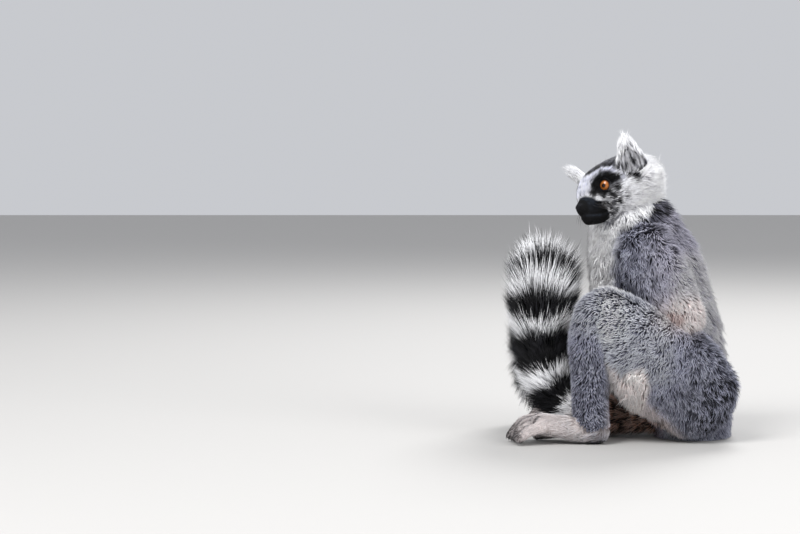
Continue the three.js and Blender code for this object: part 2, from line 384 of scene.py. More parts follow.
def leg_lengths(side: int, back: float) -> list[Length]:
    """Lays out a thigh, shank, instep and toes.

    Args:
        side: -1 for the left, 1 for the right.
        back: How far back the knee and foot are held.

    Returns:
        The leg's lengths.
    """
    name = side_name(side)
    middle = side * FOOT_SPAN
    thigh = (
        (82, side * HIP_SPAN, 42, 34, 47, 10),
        (54 + back * 0.3, side * 55, 70, 36, 55, 10),
        (24 + back * 0.6, side * 60, 93, 34, 52, 10),
        (-3 + back * 0.85, side * KNEE_SPAN, 119, 30, 40, 9),
        (-24 + back, side * KNEE_SPAN, KNEE_HEIGHT, 26, 28, 8),
    )
    shank = (
        (-30 + back, side * KNEE_SPAN, KNEE_HEIGHT - 3, 25, 25, 8),
        (-34 + back, side * KNEE_SPAN, 108, 24, 27, 8),
        (-36 + back, side * KNEE_SPAN, 74, 20, 22, 7),
        (-36 + back, side * KNEE_SPAN, 42, 18.5, 20.5, 6),
        (-34 + back, side * KNEE_SPAN, 18, 17.5, 19.5, 5),
    )
    instep = (
        (-27 + back, middle, 12.5, 13, 13, 2.5),
        (-48 + back, middle, 15.5, 13, 14, 2.5),
        (-70 + back, middle, 18.5, 14, 12.5, 2),
        (-89 + back, middle, 21.5, 16, 12, 1.5),
    )
    lengths = [
        Length(f"{name}_thigh", Zone.LEG, thigh, dome=(0.75, 0.9), blend=9.0,
               comb=((0.15, 0.3 * side, -1.0), (-0.85, 0.1 * side, -0.35))),
        Length(f"{name}_shank", Zone.LEG, shank, dome=(0.5, 0.5), blend=7.0),
        Length(f"{name}_instep", Zone.FOOT, instep, dome=(0.9, 0.5), blend=5.0),
    ]
    for k, slot in enumerate(DIGIT_SLOTS):
        inward = -slot * side
        toe = (
            (-84 + back, middle + slot * TOE_STEP, 22 + inward * 1.4, 5.6, 7.5, 1.2),
            (-101.5 + back - inward * 1.5, middle + slot * 9.5, 18.5 + inward * 2.2, 4.8, 6.5, 0.9),
            (-114.4 + back - inward * 2.4, middle + slot * 10.5, 6.6, 4.3, 5, 0.6),
        )
        lengths.append(digit(f"{name}_toe_{k + 2}", Zone.FOOT, toe, 0.9, 0.8))
    first_toe = (
        (-56 + back, middle - side * 8, 13, 8, 7, 1.5),
        (-74 + back, middle - side * 21, 9, 6.5, 6.5, 1),
        (-90 + back, middle - side * 26, 5.6, 5.6, 5, 0.6),
    )
    return [*lengths, digit(f"{name}_toe_1", Zone.FOOT, first_toe, 3.0, 0.8)]


def arm_lengths(side: int, back: float) -> list[Length]:
    """Lays out an upper arm, forearm, palm, fingers and thumb.

    Args:
        side: -1 for the left, 1 for the right.
        back: How far back the hand is held.

    Returns:
        The arm's lengths.
    """
    name = side_name(side)
    middle = side * HAND_SPAN
    upper = (
        (18, side * 34, SHOULDER_HEIGHT, 24, 34, 11),
        (32, side * 47, 181, 26, 35, 11),
        (49, side * 56, 154, 23, 29, 10),
        (66, side * 60, ELBOW_HEIGHT, 20, 21, 9),
    )
    fore = (
        (58, side * 56, 128, 16, 16, 5),
        (30, side * 47, 129, 17, 16, 5),
        (0, side * 35, 135, 14, 14, 4),
        (-22 + back, side * 25, 139, 11, 11, 3),
    )
    palm = (
        (-26 + back, middle, 139, 11, 10, 2),
        (-36 + back, middle, 126, 13, 9, 1.5),
        (-41 + back, middle, 111, 13.5, 8, 1.2),
    )
    lengths = [
        Length(f"{name}_upper_arm", Zone.ARM, upper, dome=(0.5, 0.9), blend=9.0,
               comb=((0.05, 0.6 * side, -0.8), (0.5, 0.27 * side, -0.82))),
        Length(f"{name}_forearm", Zone.ARM, fore, dome=(0.8, 0.5), blend=4.0),
        Length(f"{name}_palm", Zone.HAND, palm, dome=(0.6, 0.5), blend=4.0),
    ]
    for k, slot in enumerate(DIGIT_SLOTS):
        finger = (
            (-40 + back, middle + slot * 6.4, 114, 4.6, 6, 0.8),
            (-44 + back, middle + slot * 7, 98, 4.2, 5, 0.6),
            (-43 + back, middle + slot * 7.2, 82 + 3 * abs(slot), 3.6, 4, 0.5),
        )
        lengths.append(digit(f"{name}_finger_{k + 2}", Zone.HAND, finger, 1.5, 0.9))
    thumb = (
        (-33 + back, middle - side * 8, 124, 5.5, 5.5, 0.8),
        (-36 + back, middle - side * 15, 112, 4.6, 4.6, 0.7),
        (-38 + back, middle - side * 17, 103, 4, 4, 0.5),
    )
    return [*lengths, digit(f"{name}_thumb", Zone.HAND, thumb, 2.0, 0.9)]


def tail_lengths() -> list[Length]:
    """Lays out the tail, from the seat forward, up in front, over and down on the right.

    Returns:
        Its one length.
    """
    outline = (
        (62, 0, 24, 22),
        (27, -2, 23, 23),
        (-8, -3, 23, 24),
        (-41, -5, 27, 27),
        (-66, -6, 47, 31),
        (-79, -7, 79, 34),
        (-82, -6, 112, 38.5),
        (-82, -3, 142, 41.5),
        (-80, 12, 164, 40),
        (-78, 39, 170, 38.5),
        (-77, 66, 155, 36),
        (-79, 80, 132, 32),
        (-82, 88, 100, 30),
        (-83, 95, 68, 28),
        (-76, 101, 39, 26),
        (-56, 104, 23, 23),
        (-28, 105, 18, 17),
        (-3, 104, 12, 8),
    )
    last = len(outline) - 1
    stations = []
    for k, (x, y, z, size) in enumerate(outline):
        core = TAIL_CORE * (1.25 - 0.75 * k / last)
        stations.append((x, y, z, size, size, size - core))
    return [Length("tail", Zone.TAIL, tuple(stations), (1.0, 0.35, 0.0), (0.6, 1.2), blend=2.0)]


def head_lengths() -> list[Length]:
    """Lays out the skull with its muzzle, and the lower jaw.

    Returns:
        Their lengths, in the head's axes.
    """
    skull = (
        (-52, 2, -4.5, 29, 29, 11),
        (-40, 2, -4.5, 41, 36.5, 11),
        (-24, 1, -4, 41, 34.5, 8),
        (-8, 0, -3.5, 33.5, 29, 5),
        (5, 0, -5.5, 23, 22.5, 2.6),
        (14, 0, -10, 15, 15, 1.1),
        (22, 0, -12.6, 11.8, 11.0, 0.7),
        (29.5, 0, -14.2, 8.7, 8.4, 0.6),
    )
    jaw = (
        (-2, 0, -23, 16, 11, 2.5),
        (13, 0, -25.5, 12.5, 9.5, 1.0),
        (27.6, 0, -24.4, 8.9, 9.0, 0.6),
    )
    return [
        Length("skull", Zone.HEAD, skull, dome=(0.6, 0.5), lie=-1.0, on_head=True, steps=5),
        Length("jaw", Zone.HEAD, jaw, dome=(0.5, 0.7), lie=-1.0, blend=6.0, on_head=True),
    ]


def all_lengths() -> list[Length]:
    """Collects every length of the body.

    Returns:
        The lengths, trunk first.
    """
    lengths = trunk_lengths()
    for side, back in ((-1, 0.0), (1, RIGHT_KNEE_BACK)):
        lengths += leg_lengths(side, back) + arm_lengths(side, back)
    return lengths + tail_lengths() + head_lengths()


# ---- The skin -----------------------------------------------------------------------------------


def soft_union(a: Array, b: Array, width: float) -> Array:
    """Returns the union of two distance fields with a rounded join.

    Args:
        a: First field.
        b: Second field.
        width: How wide the join is.

    Returns:
        The joined field.
    """
    h = np.clip(0.5 + 0.5 * (b - a) / width, 0.0, 1.0)
    return b * (1.0 - h) + a * h - width * h * (1.0 - h)


def spaced(low: float, high: float, fine: tuple[float, float], steps: tuple[float, float]) -> Array:
    """Returns grid lines that are closer together over one stretch.

    Args:
        low: First line.
        high: Last line.
        fine: Where the close stretch starts and ends.
        steps: Wide and close spacing.

    Returns:
        The places of the lines.
    """
    lines = [low]
    while lines[-1] < high:
        at = lines[-1]
        lines.append(at + (steps[1] if fine[0] <= at < fine[1] else steps[0]))
    return np.array(lines)


def window_of(axes: tuple[Array, ...], low: Array, high: Array) -> tuple[slice, ...]:
    """Returns the grid's window between a low and a high corner."""
    return tuple(slice(*np.searchsorted(a, (low[k], high[k]))) for k, a in enumerate(axes))


@dataclass
class Ear:
    """A cupped ear shell, in the head's axes; side is 1 for the left and -1 for the right."""

    side: int
    base: Triple = (-24.5, 32.0, -5.0)
    tip: Triple = (-16.5, 46.5, 28.0)
    half_width: float = 15.2
    narrowing: float = 0.48  # share of the width lost from the middle to the tip
    thickness: float = 8.0
    cup_shift: float = 5.2
    cup_rim: float = 1.4  # how much narrower the hollow is than the shell
    cup_rise: float = 1.2
    cup_depth: float = 8.6

    def axes(self) -> tuple[Array, Array, Array, Array, float]:
        """Works out the ear's own axes.

        Returns:
            Its middle, its up, sideways and facing ways, and its half-height.
        """
        mirror = np.array([1.0, self.side, 1.0])
        base, tip = np.array(self.base) * mirror, np.array(self.tip) * mirror
        up = unit(tip - base)
        facing = np.array([0.66, 0.74 * self.side, -0.10])
        facing = unit(facing - up * float(facing @ up))
        return (base + tip) / 2.0, up, np.cross(up, facing), facing, float(np.linalg.norm(tip - base)) / 2

    def place(self, local: Array) -> tuple[Array, Array, Array]:
        """Measures places in the ear's own axes.

        Args:
            local: The places, in the head's axes.

        Returns:
            How far they lie up, across and in front of the ear's middle.
        """
        middle, up, sideways, facing, _ = self.axes()
        rel = local - middle
        return rel @ up, rel @ sideways, rel @ facing

    def width_at(self, h: Array) -> Array:
        """Returns the shell's half-width at heights over its middle."""
        return self.half_width * (1.0 - self.narrowing * np.clip(h / self.axes()[4], -1.0, 1.0))

    def hollow(self, local: Array) -> Array:
        """Measures places against the oval that hollows the ear out.

        Args:
            local: The places, in the head's axes.

        Returns:
            0 at its middle and 1 on its surface.
        """
        h, w, f = self.place(local)
        tall, wide = self.axes()[4] + self.cup_rise, self.width_at(h) - self.cup_rim
        return np.sqrt((h / tall) ** 2 + (w / wide) ** 2 + ((f - self.cup_shift) / self.cup_depth) ** 2)

    def within(self, local: Array) -> Array:
        """Finds places on the hollow inner face.

        Args:
            local: The places, in the head's axes.

        Returns:
            How surely each is on it, from 0 to 1.
        """
        f = self.place(local)[2]
        return rise(1.35, 1.1, self.hollow(local)) * rise(self.cup_shift + 1.5, self.cup_shift - 1.5, f)

    def join(self, values: Array, local: Array) -> Array:
        """Adds the shell to a field.

        Args:
            values: Field at the places.
            local: The places, in the head's axes.

        Returns:
            The field with the ear.
        """
        h, w, f = self.place(local)
        tall, steepness = self.axes()[4] + 3.0, 1.4
        outer = np.sqrt((h / tall) ** 2 + (w / self.width_at(h)) ** 2 + (f / self.thickness) ** 2)
        outer = (outer - 1.0) * self.thickness * steepness
        cup = (self.hollow(local) - 1.0) * self.cup_depth * steepness
        return soft_union(values, np.maximum(outer, -cup), 2.0)


def eye_axes(side: int, turn_out: float, lifted: float) -> Array:
    """Works out the axes of an eye in the head's.

    Args:
        side: 1 for the left, -1 for the right.
        turn_out: Degrees that it looks out from straight ahead.
        lifted: How steeply it looks up.

    Returns:
        Its gaze, level and up directions, one to a row.
    """
    out = math.radians(turn_out)
    gaze = np.array([math.cos(out), side * math.sin(out), lifted])
    gaze = gaze / np.linalg.norm(gaze)
    level = unit(np.cross(np.array([0.0, 0.0, 1.0]), gaze))
    return np.stack([gaze, level, np.cross(gaze, level)])


@dataclass
class Eye:
    """One eye: its place, and the lids that the skin makes round it; side is 1 for the left."""

    side: int
    opening: tuple[float, float] = (5.5, 5.7)  # half-width and half-height between the lids
    rim_width: float = 2.3
    lid_radius: float = 1.25

    def __post_init__(self) -> None:
        """Names the eye and places it in the head's axes."""
        self.name = "left" if self.side > 0 else "right"
        self.centre = EYE_CENTRE * np.array([1.0, self.side, 1.0])
        self.gaze, self.level, self.up = eye_axes(self.side, EYE_TURN_OUT, 0.05)

    def join(self, values: Array, local: Array) -> Array:
        """Adds the orbit's rim and the lids to a field and cuts the ball out of it.

        Args:
            values: Field at the places.
            local: The places, in the head's axes.

        Returns:
            The field with the eye's surroundings.
        """
        rel = local - self.centre
        far = np.linalg.norm(rel, axis=-1)
        g, across, up = rel @ self.gaze, rel @ self.level, rel @ self.up
        rim = np.linalg.norm(rel + self.gaze * 1.6, axis=-1) - (EYE_RADIUS + self.rim_width)
        values = soft_union(values, rim, 5.0)
        ring = np.sqrt((across / self.opening[0]) ** 2 + (up / self.opening[1]) ** 2)
        off = (ring - 1.0) * self.opening[1]
        values = np.where(g > 0.0, np.maximum(values, 1.0 - off), values)
        lid = np.sqrt((off - 1.1) ** 2 + (g - 7.5) ** 2) - self.lid_radius
        values = soft_union(values, lid, 1.4)
        return np.maximum(values, EYE_RADIUS + 0.1 - far)


@dataclass
class Face:
    """The mouth's line, in the head's axes."""

    front: tuple[float, float] = (36.0, -19.5)  # forward and up
    corner: tuple[float, float] = (8.0, -25.5)
    sag: float = 1.8
    groove_width: float = 1.1
    groove_depth: float = 1.2

    def height(self, x: Array) -> Array:
        """Returns the line's height at places along the muzzle."""
        share = np.clip((self.front[0] - x) / (self.front[0] - self.corner[0]), 0.0, 1.0)
        return self.front[1] + (self.corner[1] - self.front[1]) * share - self.sag * np.sin(math.pi * share)

    def cut(self, values: Array, local: Array) -> Array:
        """Cuts the mouth line into a field.

        Args:
            values: Field at the places.
            local: The places, in the head's axes.

        Returns:
            The field with the mouth.
        """
        x = local[..., 0]
        off = (local[..., 2] - self.height(x)) / self.groove_width
        ends = rise(self.corner[0] - 3.0, self.corner[0] + 3.0, x) * (1.0 - 0.55 * rise(27.0, 33.0, x))
        return values + self.groove_depth * ends * hump(off)


@dataclass
class Skin:
    """The one skin of the whole animal, as arrays."""

    lengths: list[Length]
    coarse: float = 1.9
    fine: float = 1.15
    fine_from: Triple = (-66.0, -74.0, 214.0)  # the fine lines run round the head
    fine_to: Triple = (48.0, 44.0, 330.0)
    heights: tuple[float, float] = (-2.0, 322.0)
    head_box: float = 75.0
    ground_gap: float = 0.8
    rings: list[Rings] = field(init=False)
    points: Array = field(init=False)
    quads: Array = field(init=False)
    values: Array = field(init=False)
    axes: tuple[Array, ...] = field(init=False)

    def depth_at(self, points: Array) -> Array:
        """Samples the field, which grows outwards from the skin.

        Args:
            points: Any places.

        Returns:
            Its value at each.
        """
        total, low, shares = np.zeros(len(points)), [], []
        for k, lines in enumerate(self.axes):
            at = np.clip(np.searchsorted(lines, points[:, k]) - 1, 0, len(lines) - 2)
            low.append(at)
            shares.append(np.clip((points[:, k] - lines[at]) / (lines[at + 1] - lines[at]), 0.0, 1.0))
        for corner in np.ndindex(2, 2, 2):
            weight = np.prod([s if c else 1.0 - s for s, c in zip(shares, corner)], axis=0)
            total += weight * self.values[tuple(at + c for at, c in zip(low, corner))]
        return total

    def build(self) -> None:
        """Makes the skin's points and faces."""
        self.rings = [length.rings() for length in self.lengths]
        axes = self.grid()
        values = np.full([len(a) for a in axes], OPEN_AIR, np.float32)
        for rings in self.rings:
            self.add_length(values, axes, rings)
        self.add_head(values, axes)
        ground = self.ground_gap - axes[2][None, None, :]
        values = np.maximum(values, ground.astype(np.float32))
        self.values, self.axes = values, axes
        points, quads = surface_nets(values, axes)
        points, self.quads = largest_shell(points, quads)
        self.points = smoothed(points, self.quads, 3)

    def grid(self) -> tuple[Array, ...]:
        """Lays out the grid, closer together round the head.

        Returns:
            Its lines along each axis.
        """
        low = np.min([r.centre.min(0) - r.flesh.max() for r in self.rings], axis=0)
        high = np.max([r.centre.max(0) + r.flesh.max() for r in self.rings], axis=0)
        low[2], high[2] = self.heights
        fine, steps = list(zip(self.fine_from, self.fine_to)), (self.coarse, self.fine)
        return tuple(spaced(low[k] - 3.0, high[k] + 3.0, fine[k], steps) for k in range(3))

    def add_length(self, values: Array, axes: tuple[Array, ...], rings: Rings) -> None:
        """Joins one length to the field, in place.

        Args:
            values: The field on the grid.
            axes: The grid's lines.
            rings: The length's rings.
        """
        pad = rings.length.blend + 4.0
        reach = rings.flesh.max() + pad
        window = window_of(axes, rings.centre.min(0) - reach, rings.centre.max(0) + reach)
        own = np.full(values[window].shape, OPEN_AIR, np.float32)
        lines = [a[w] for a, w in zip(axes, window)]
        for k in range(len(rings.centre) - 1):
            ends, size = rings.centre[k : k + 2], rings.flesh[k : k + 2].max() + pad
            box = window_of(lines, ends.min(0) - size, ends.max(0) + size)
            x, y, z = (a[b] for a, b in zip(lines, box))
            distance = rings.piece(k, x[:, None, None], y[None, :, None], z[None, None, :])[0]
            own[box] = np.minimum(own[box], distance)
        values[window] = soft_union(values[window], own, rings.length.blend)

    def add_head(self, values: Array, axes: tuple[Array, ...]) -> None:
        """Shapes the eyes, ears and mouth in the field, in place.

        Args:
            values: The field on the grid.
            axes: The grid's lines.
        """
        window = window_of(axes, HEAD_AT - self.head_box, HEAD_AT + self.head_box)
        lines = np.meshgrid(*(a[w] for a, w in zip(axes, window)), indexing="ij")
        local = to_head(np.stack(lines, axis=-1))
        part = values[window].astype(float)
        for side in (1, -1):
            part = Eye(side).join(Ear(side).join(part, local), local)
        values[window] = Face().cut(part, local)


CORNERS = [np.array(c) for c in np.ndindex(2, 2, 2)]
EDGES = [
    (a, b) for a in range(8) for b in range(a + 1, 8) if int(abs(CORNERS[a] - CORNERS[b]).sum()) == 1
]


def surface_nets(values: Array, axes: tuple[Array, ...]) -> tuple[Array, Array]:
    """Makes a four-sided mesh of the surface where a field is zero.

    Args:
        values: The field on the grid, negative inside.
        axes: The grid's lines.

    Returns:
        Points and four-sided faces that look outwards.
    """
    inside = values < 0
    shape = np.array(values.shape) - 1
    count = sum(
        inside[c[0] : c[0] + shape[0], c[1] : c[1] + shape[1], c[2] : c[2] + shape[2]].astype(np.int8)
        for c in CORNERS
    )
    cells = np.argwhere((count > 0) & (count < 8))
    number = np.full(shape, -1, np.int32)
    number[tuple(cells.T)] = np.arange(len(cells))
    corner_values, corner_points = [], []
    for c in CORNERS:
        i, j, k = (cells + c).T
        corner_values.append(values[i, j, k].astype(float))
        corner_points.append(np.stack([axes[0][i], axes[1][j], axes[2][k]], axis=1))
    total, hits = np.zeros((len(cells), 3)), np.zeros(len(cells))
    for a, b in EDGES:
        va, vb = corner_values[a], corner_values[b]
        crosses = (va < 0) != (vb < 0)
        share = np.where(crosses, va / np.where(crosses, va - vb, 1.0), 0.0)[:, None]
        spot = corner_points[a] * (1 - share) + corner_points[b] * share
        total += np.where(crosses[:, None], spot, 0.0)
        hits += crosses
    points = total / hits[:, None]
    quads = []
    for axis in range(3):
        first = [slice(1, -1)] * 3
        second = [slice(1, -1)] * 3
        first[axis], second[axis] = slice(0, -1), slice(1, None)
        here, there = inside[tuple(first)], inside[tuple(second)]
        spots = np.argwhere(here != there)
        outward = here[tuple(spots.T)]
        spots = spots + np.array([0 if k == axis else 1 for k in range(3)])
        p, q = (axis + 1) % 3, (axis + 2) % 3
        ring = []
        for dp, dq in ((1, 1), (0, 1), (0, 0), (1, 0)):
            cell = spots.copy()
            cell[:, p] -= dp
            cell[:, q] -= dq
            ring.append(number[tuple(cell.T)])
        face = np.stack(ring, axis=1)
        face[~outward] = face[~outward][:, ::-1]
        quads.append(face)
    faces = np.concatenate(quads)
    return points, faces[(faces >= 0).all(axis=1)]


def largest_shell(points: Array, quads: Array) -> tuple[Array, Array]:
    """Keeps only the largest of a mesh's separate shells.

    Args:
        points: The mesh's points.
        quads: Its faces.

    Returns:
        Points and faces of the largest shell.
    """
    label = np.arange(len(points))
    while True:
        low = label[quads].min(axis=1)
        new = label.copy()
        for k in range(4):
            np.minimum.at(new, quads[:, k], low)
        new = np.minimum(new, new[new])
        if np.array_equal(new, label):
            break
        label = new
    names, sizes = np.unique(label[quads[:, 0]], return_counts=True)
    keep = label == names[np.argmax(sizes)]
    renumber = np.cumsum(keep) - 1
    return points[keep], renumber[quads[keep[quads[:, 0]]]]


def smoothed(points: Array, quads: Array, rounds: int) -> Array:
    """Smooths a mesh without shrinking it much.

    Args:
        points: The mesh's points.
        quads: Its faces.
        rounds: How many pairs of passes.

    Returns:
        The moved points.
    """
    a = quads.ravel()
    b = np.roll(quads, 1, axis=1).ravel()
    degree = np.bincount(a, minlength=len(points)) + np.bincount(b, minlength=len(points))
    out = points.copy()
    for _ in range(rounds):
        for step in (0.5, -0.52):
            mean = np.stack(
                [
                    np.bincount(a, out[b, k], len(points)) + np.bincount(b, out[a, k], len(points))
                    for k in range(3)
                ],
                axis=1,
            ) / degree[:, None]
            out = out + step * (mean - out)
    return out


def vertex_normals(points: Array, quads: Array) -> Array:
    """Returns outward unit normals at a mesh's points.

    Args:
        points: The mesh's points.
        quads: Its faces.

    Returns:
        One vector for each point.
    """
    face = np.cross(points[quads[:, 2]] - points[quads[:, 0]], points[quads[:, 3]] - points[quads[:, 1]])
    total = np.stack(
        [np.bincount(quads.ravel(), np.repeat(face[:, k], 4), len(points)) for k in range(3)], axis=1
    )
    return unit(total)


# ---- Meshes in the frame ------------------------------------------------------------------------


def make_piece(name: str, points: Array, faces: Array, finish: bpy.types.Material) -> bpy.types.Object:
    """Makes an object from arrays in the body's axes.

    Args:
        name: The piece's name.
        points: Places in millimetres.
        faces: Corner numbers, the same count for each face.
        finish: Its material.

    Returns:
        The object, riding on the body.
    """
    mesh = bpy.data.meshes.new(name)
    mesh.vertices.add(len(points))
    mesh.vertices.foreach_set("co", ((points + SHIFT) * MM).astype(np.float32).ravel())
    mesh.loops.add(faces.size)
    mesh.loops.foreach_set("vertex_index", faces.astype(np.int32).ravel())
    mesh.polygons.add(len(faces))
    starts = np.arange(0, faces.size, faces.shape[1], dtype=np.int32)
    mesh.polygons.foreach_set("loop_start", starts)
    mesh.polygons.foreach_set("use_smooth", np.full(len(faces), True))
    mesh.materials.append(finish)
    mesh.update(calc_edges=True)
    mesh.validate()
    obj = bpy.data.objects.new(name, mesh)
    bpy.context.scene.collection.objects.link(obj)
    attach(obj, BODY)
    return obj


def tint_points(obj: bpy.types.Object, name: str, colours: Array) -> None:
    """Writes a colour for each point of an object's mesh.

    Args:
        obj: The object.
        name: The attribute's name.
        colours: Red, green and blue rows.
    """
    rows = np.concatenate([colours, np.ones((len(colours), 1))], axis=1).astype(np.float32)
    layer = obj.data.attributes.new(name, "FLOAT_COLOR", "POINT")
    layer.data.foreach_set("color", rows.ravel())


# ---- Where a place lies on the body -------------------------------------------------------------


@dataclass
class Survey:
    """What the coat needs to know at each point of the skin."""

    skin: Skin
    normals: Array = field(init=False)
    owner: Array = field(init=False)
    zone: Array = field(init=False)
    place: Array = field(init=False)
    angle: Array = field(init=False)
    lie: Array = field(init=False)
    depth: Array = field(init=False)
    sureness: Array = field(init=False)
    ear: Array = field(init=False)
    paw_depth: float = 1.1  # the least on hands and feet

    def measure(self) -> None:
        """Finds the nearest length, the lie and the coat's depth at every point."""
        points, count = self.skin.points, len(self.skin.points)
        self.normals = vertex_normals(points, self.skin.quads)
        nearest = np.full(count, FAR)
        self.owner, self.place, self.angle = np.zeros(count, int), np.zeros(count), np.zeros(count)
        lie, depth, total = np.zeros((count, 3)), np.zeros(count), np.zeros(count)
        for number, rings in enumerate(self.skin.rings):
            distance, place, angle, ways = rings.locate(points)
            weight = np.exp(-np.maximum(distance, -1.0) / rings.length.blend * 2.5)
            lie += ways * (weight * rings.length.lie)[:, None]
            depth += weight * np.interp(place, rings.t, rings.coat)
            total += weight
            better = distance < nearest
            nearest[better] = distance[better]
            self.owner[better], self.place[better], self.angle[better] = number, place[better], angle[better]
        self.depth = depth / np.maximum(total, 1e-9)
        self.zone = np.array([ZONES.index(r.length.zone) for r in self.skin.rings])[self.owner]
        paw = in_zone(self.zone, Zone.FOOT, Zone.HAND)
        self.depth = np.where(paw, np.maximum(self.depth, self.paw_depth), self.depth)
        lie = lie / np.maximum(total, 1e-9)[:, None]
        flat = lie - self.normals * dot(lie, self.normals)[:, None]
        self.sureness = rise(0.0, 0.55, np.linalg.norm(flat, axis=1))
        x, y, z = points.T
        thigh = np.array(["thigh" in r.length.name for r in self.skin.rings])[self.owner]
        fringe = hump((x - 4.0) / 15.0, (z - 52.0) / 24.0) * rise(30.0, 42.0, np.abs(y)) * thigh
        self.depth = self.depth * (1.0 + 0.55 * fringe)
        lie = mix(lie, np.array([0.15, 0.0, -1.0]), np.clip(fringe * 1.6, 0.0, 1.0))
        self.lie = self.along_skin(lie)
        self.mark_ears()

    def along_skin(self, ways: Array) -> Array:
        """Returns directions laid flat on the skin at its points."""
        flat = ways - self.normals * dot(ways, self.normals)[:, None]
        return unit(flat + 1e-6)

    def mark_ears(self) -> None:
        """Gives the points of the ears their own zone, lie and depth."""
        local = to_head(self.skin.points)
        self.ear = np.zeros(len(local), int)
        for side in (1, -1):
            ear = Ear(side)
            _, up, sideways, _, half = ear.axes()
            h, w, f = ear.place(local)
            near = (np.abs(w) < ear.half_width + 3.0) & (np.abs(f) < ear.thickness + 2.5)
            near &= (h > -half * 0.62) & (h < half + 5.0)
            self.ear[near] = side
            fan = up + sideways * (w / ear.half_width * 0.35)[:, None]
            ways = self.along_skin(fan @ HEAD_AXES.T)
            self.lie[near] = ways[near]
            aside = w / ear.half_width / (1.0 - 0.4 * h / half)
            edge = rise(0.45, 0.9, np.hypot(aside, np.maximum(h, 0.0) / half))
            depth = 3.4 + 4.6 * edge * rise(-half * 0.3, half * 0.7, h) - 1.8 * ear.within(local)
            self.depth[near] = depth[near]
        self.zone[self.ear != 0] = ZONES.index(Zone.EAR)


# ---- Markings -----------------------------------------------------------------------------------


def tone(red: float, green: float, blue: float) -> Array:
    """Returns a screen colour as the linear colour that materials take."""
    c = np.array([red, green, blue])
    return np.where(c <= 0.04045, c / 12.92, ((c + 0.055) / 1.055) ** 2.4)


WHITE, WHITE_UNDER = tone(0.985, 0.985, 0.995), tone(0.86, 0.86, 0.89)
GREY_TIP, GREY_MID, GREY_UNDER = tone(0.84, 0.85, 0.94), tone(0.33, 0.335, 0.39), tone(0.09, 0.09, 0.105)
BACK_TIP, BACK_MID, BACK_UNDER = tone(0.88, 0.875, 0.94), tone(0.49, 0.48, 0.53), tone(0.14, 0.135, 0.15)
NAPE_TIP, NAPE_MID, NAPE_UNDER = tone(0.38, 0.38, 0.44), tone(0.145, 0.145, 0.175), tone(0.06, 0.06, 0.075)
CREAM_TIP, CREAM_MID = tone(0.95, 0.91, 0.90), tone(0.85, 0.80, 0.79)
BLACK_TIP, BLACK_UNDER = tone(0.085, 0.085, 0.10), tone(0.035, 0.035, 0.045)
# Painted sheen: the paler, bluer colour of lit black hair on the muzzle's top and lower lip.
PAINTED_SHEEN = tone(0.135, 0.155, 0.19)
# The ear hole's colour is painted shade.
PINK_SKIN, RUST, EAR_HOLE_SHADE = tone(0.50, 0.36, 0.33), tone(0.62, 0.39, 0.22), tone(0.03, 0.025, 0.03)
TAIL_LENGTH, TIP_BLACK = 536.0, 52.0
RINGS = (  # middle along the tail, half-width, strength
    (48, 8, 0.3), (86, 9, 0.6), (119, 12, 1), (160, 15.5, 1), (200, 12.5, 1), (237, 11, 1),
    (280, 12.5, 1), (323, 13, 1), (366, 13, 1), (408, 13, 1), (449, 13, 1),
)


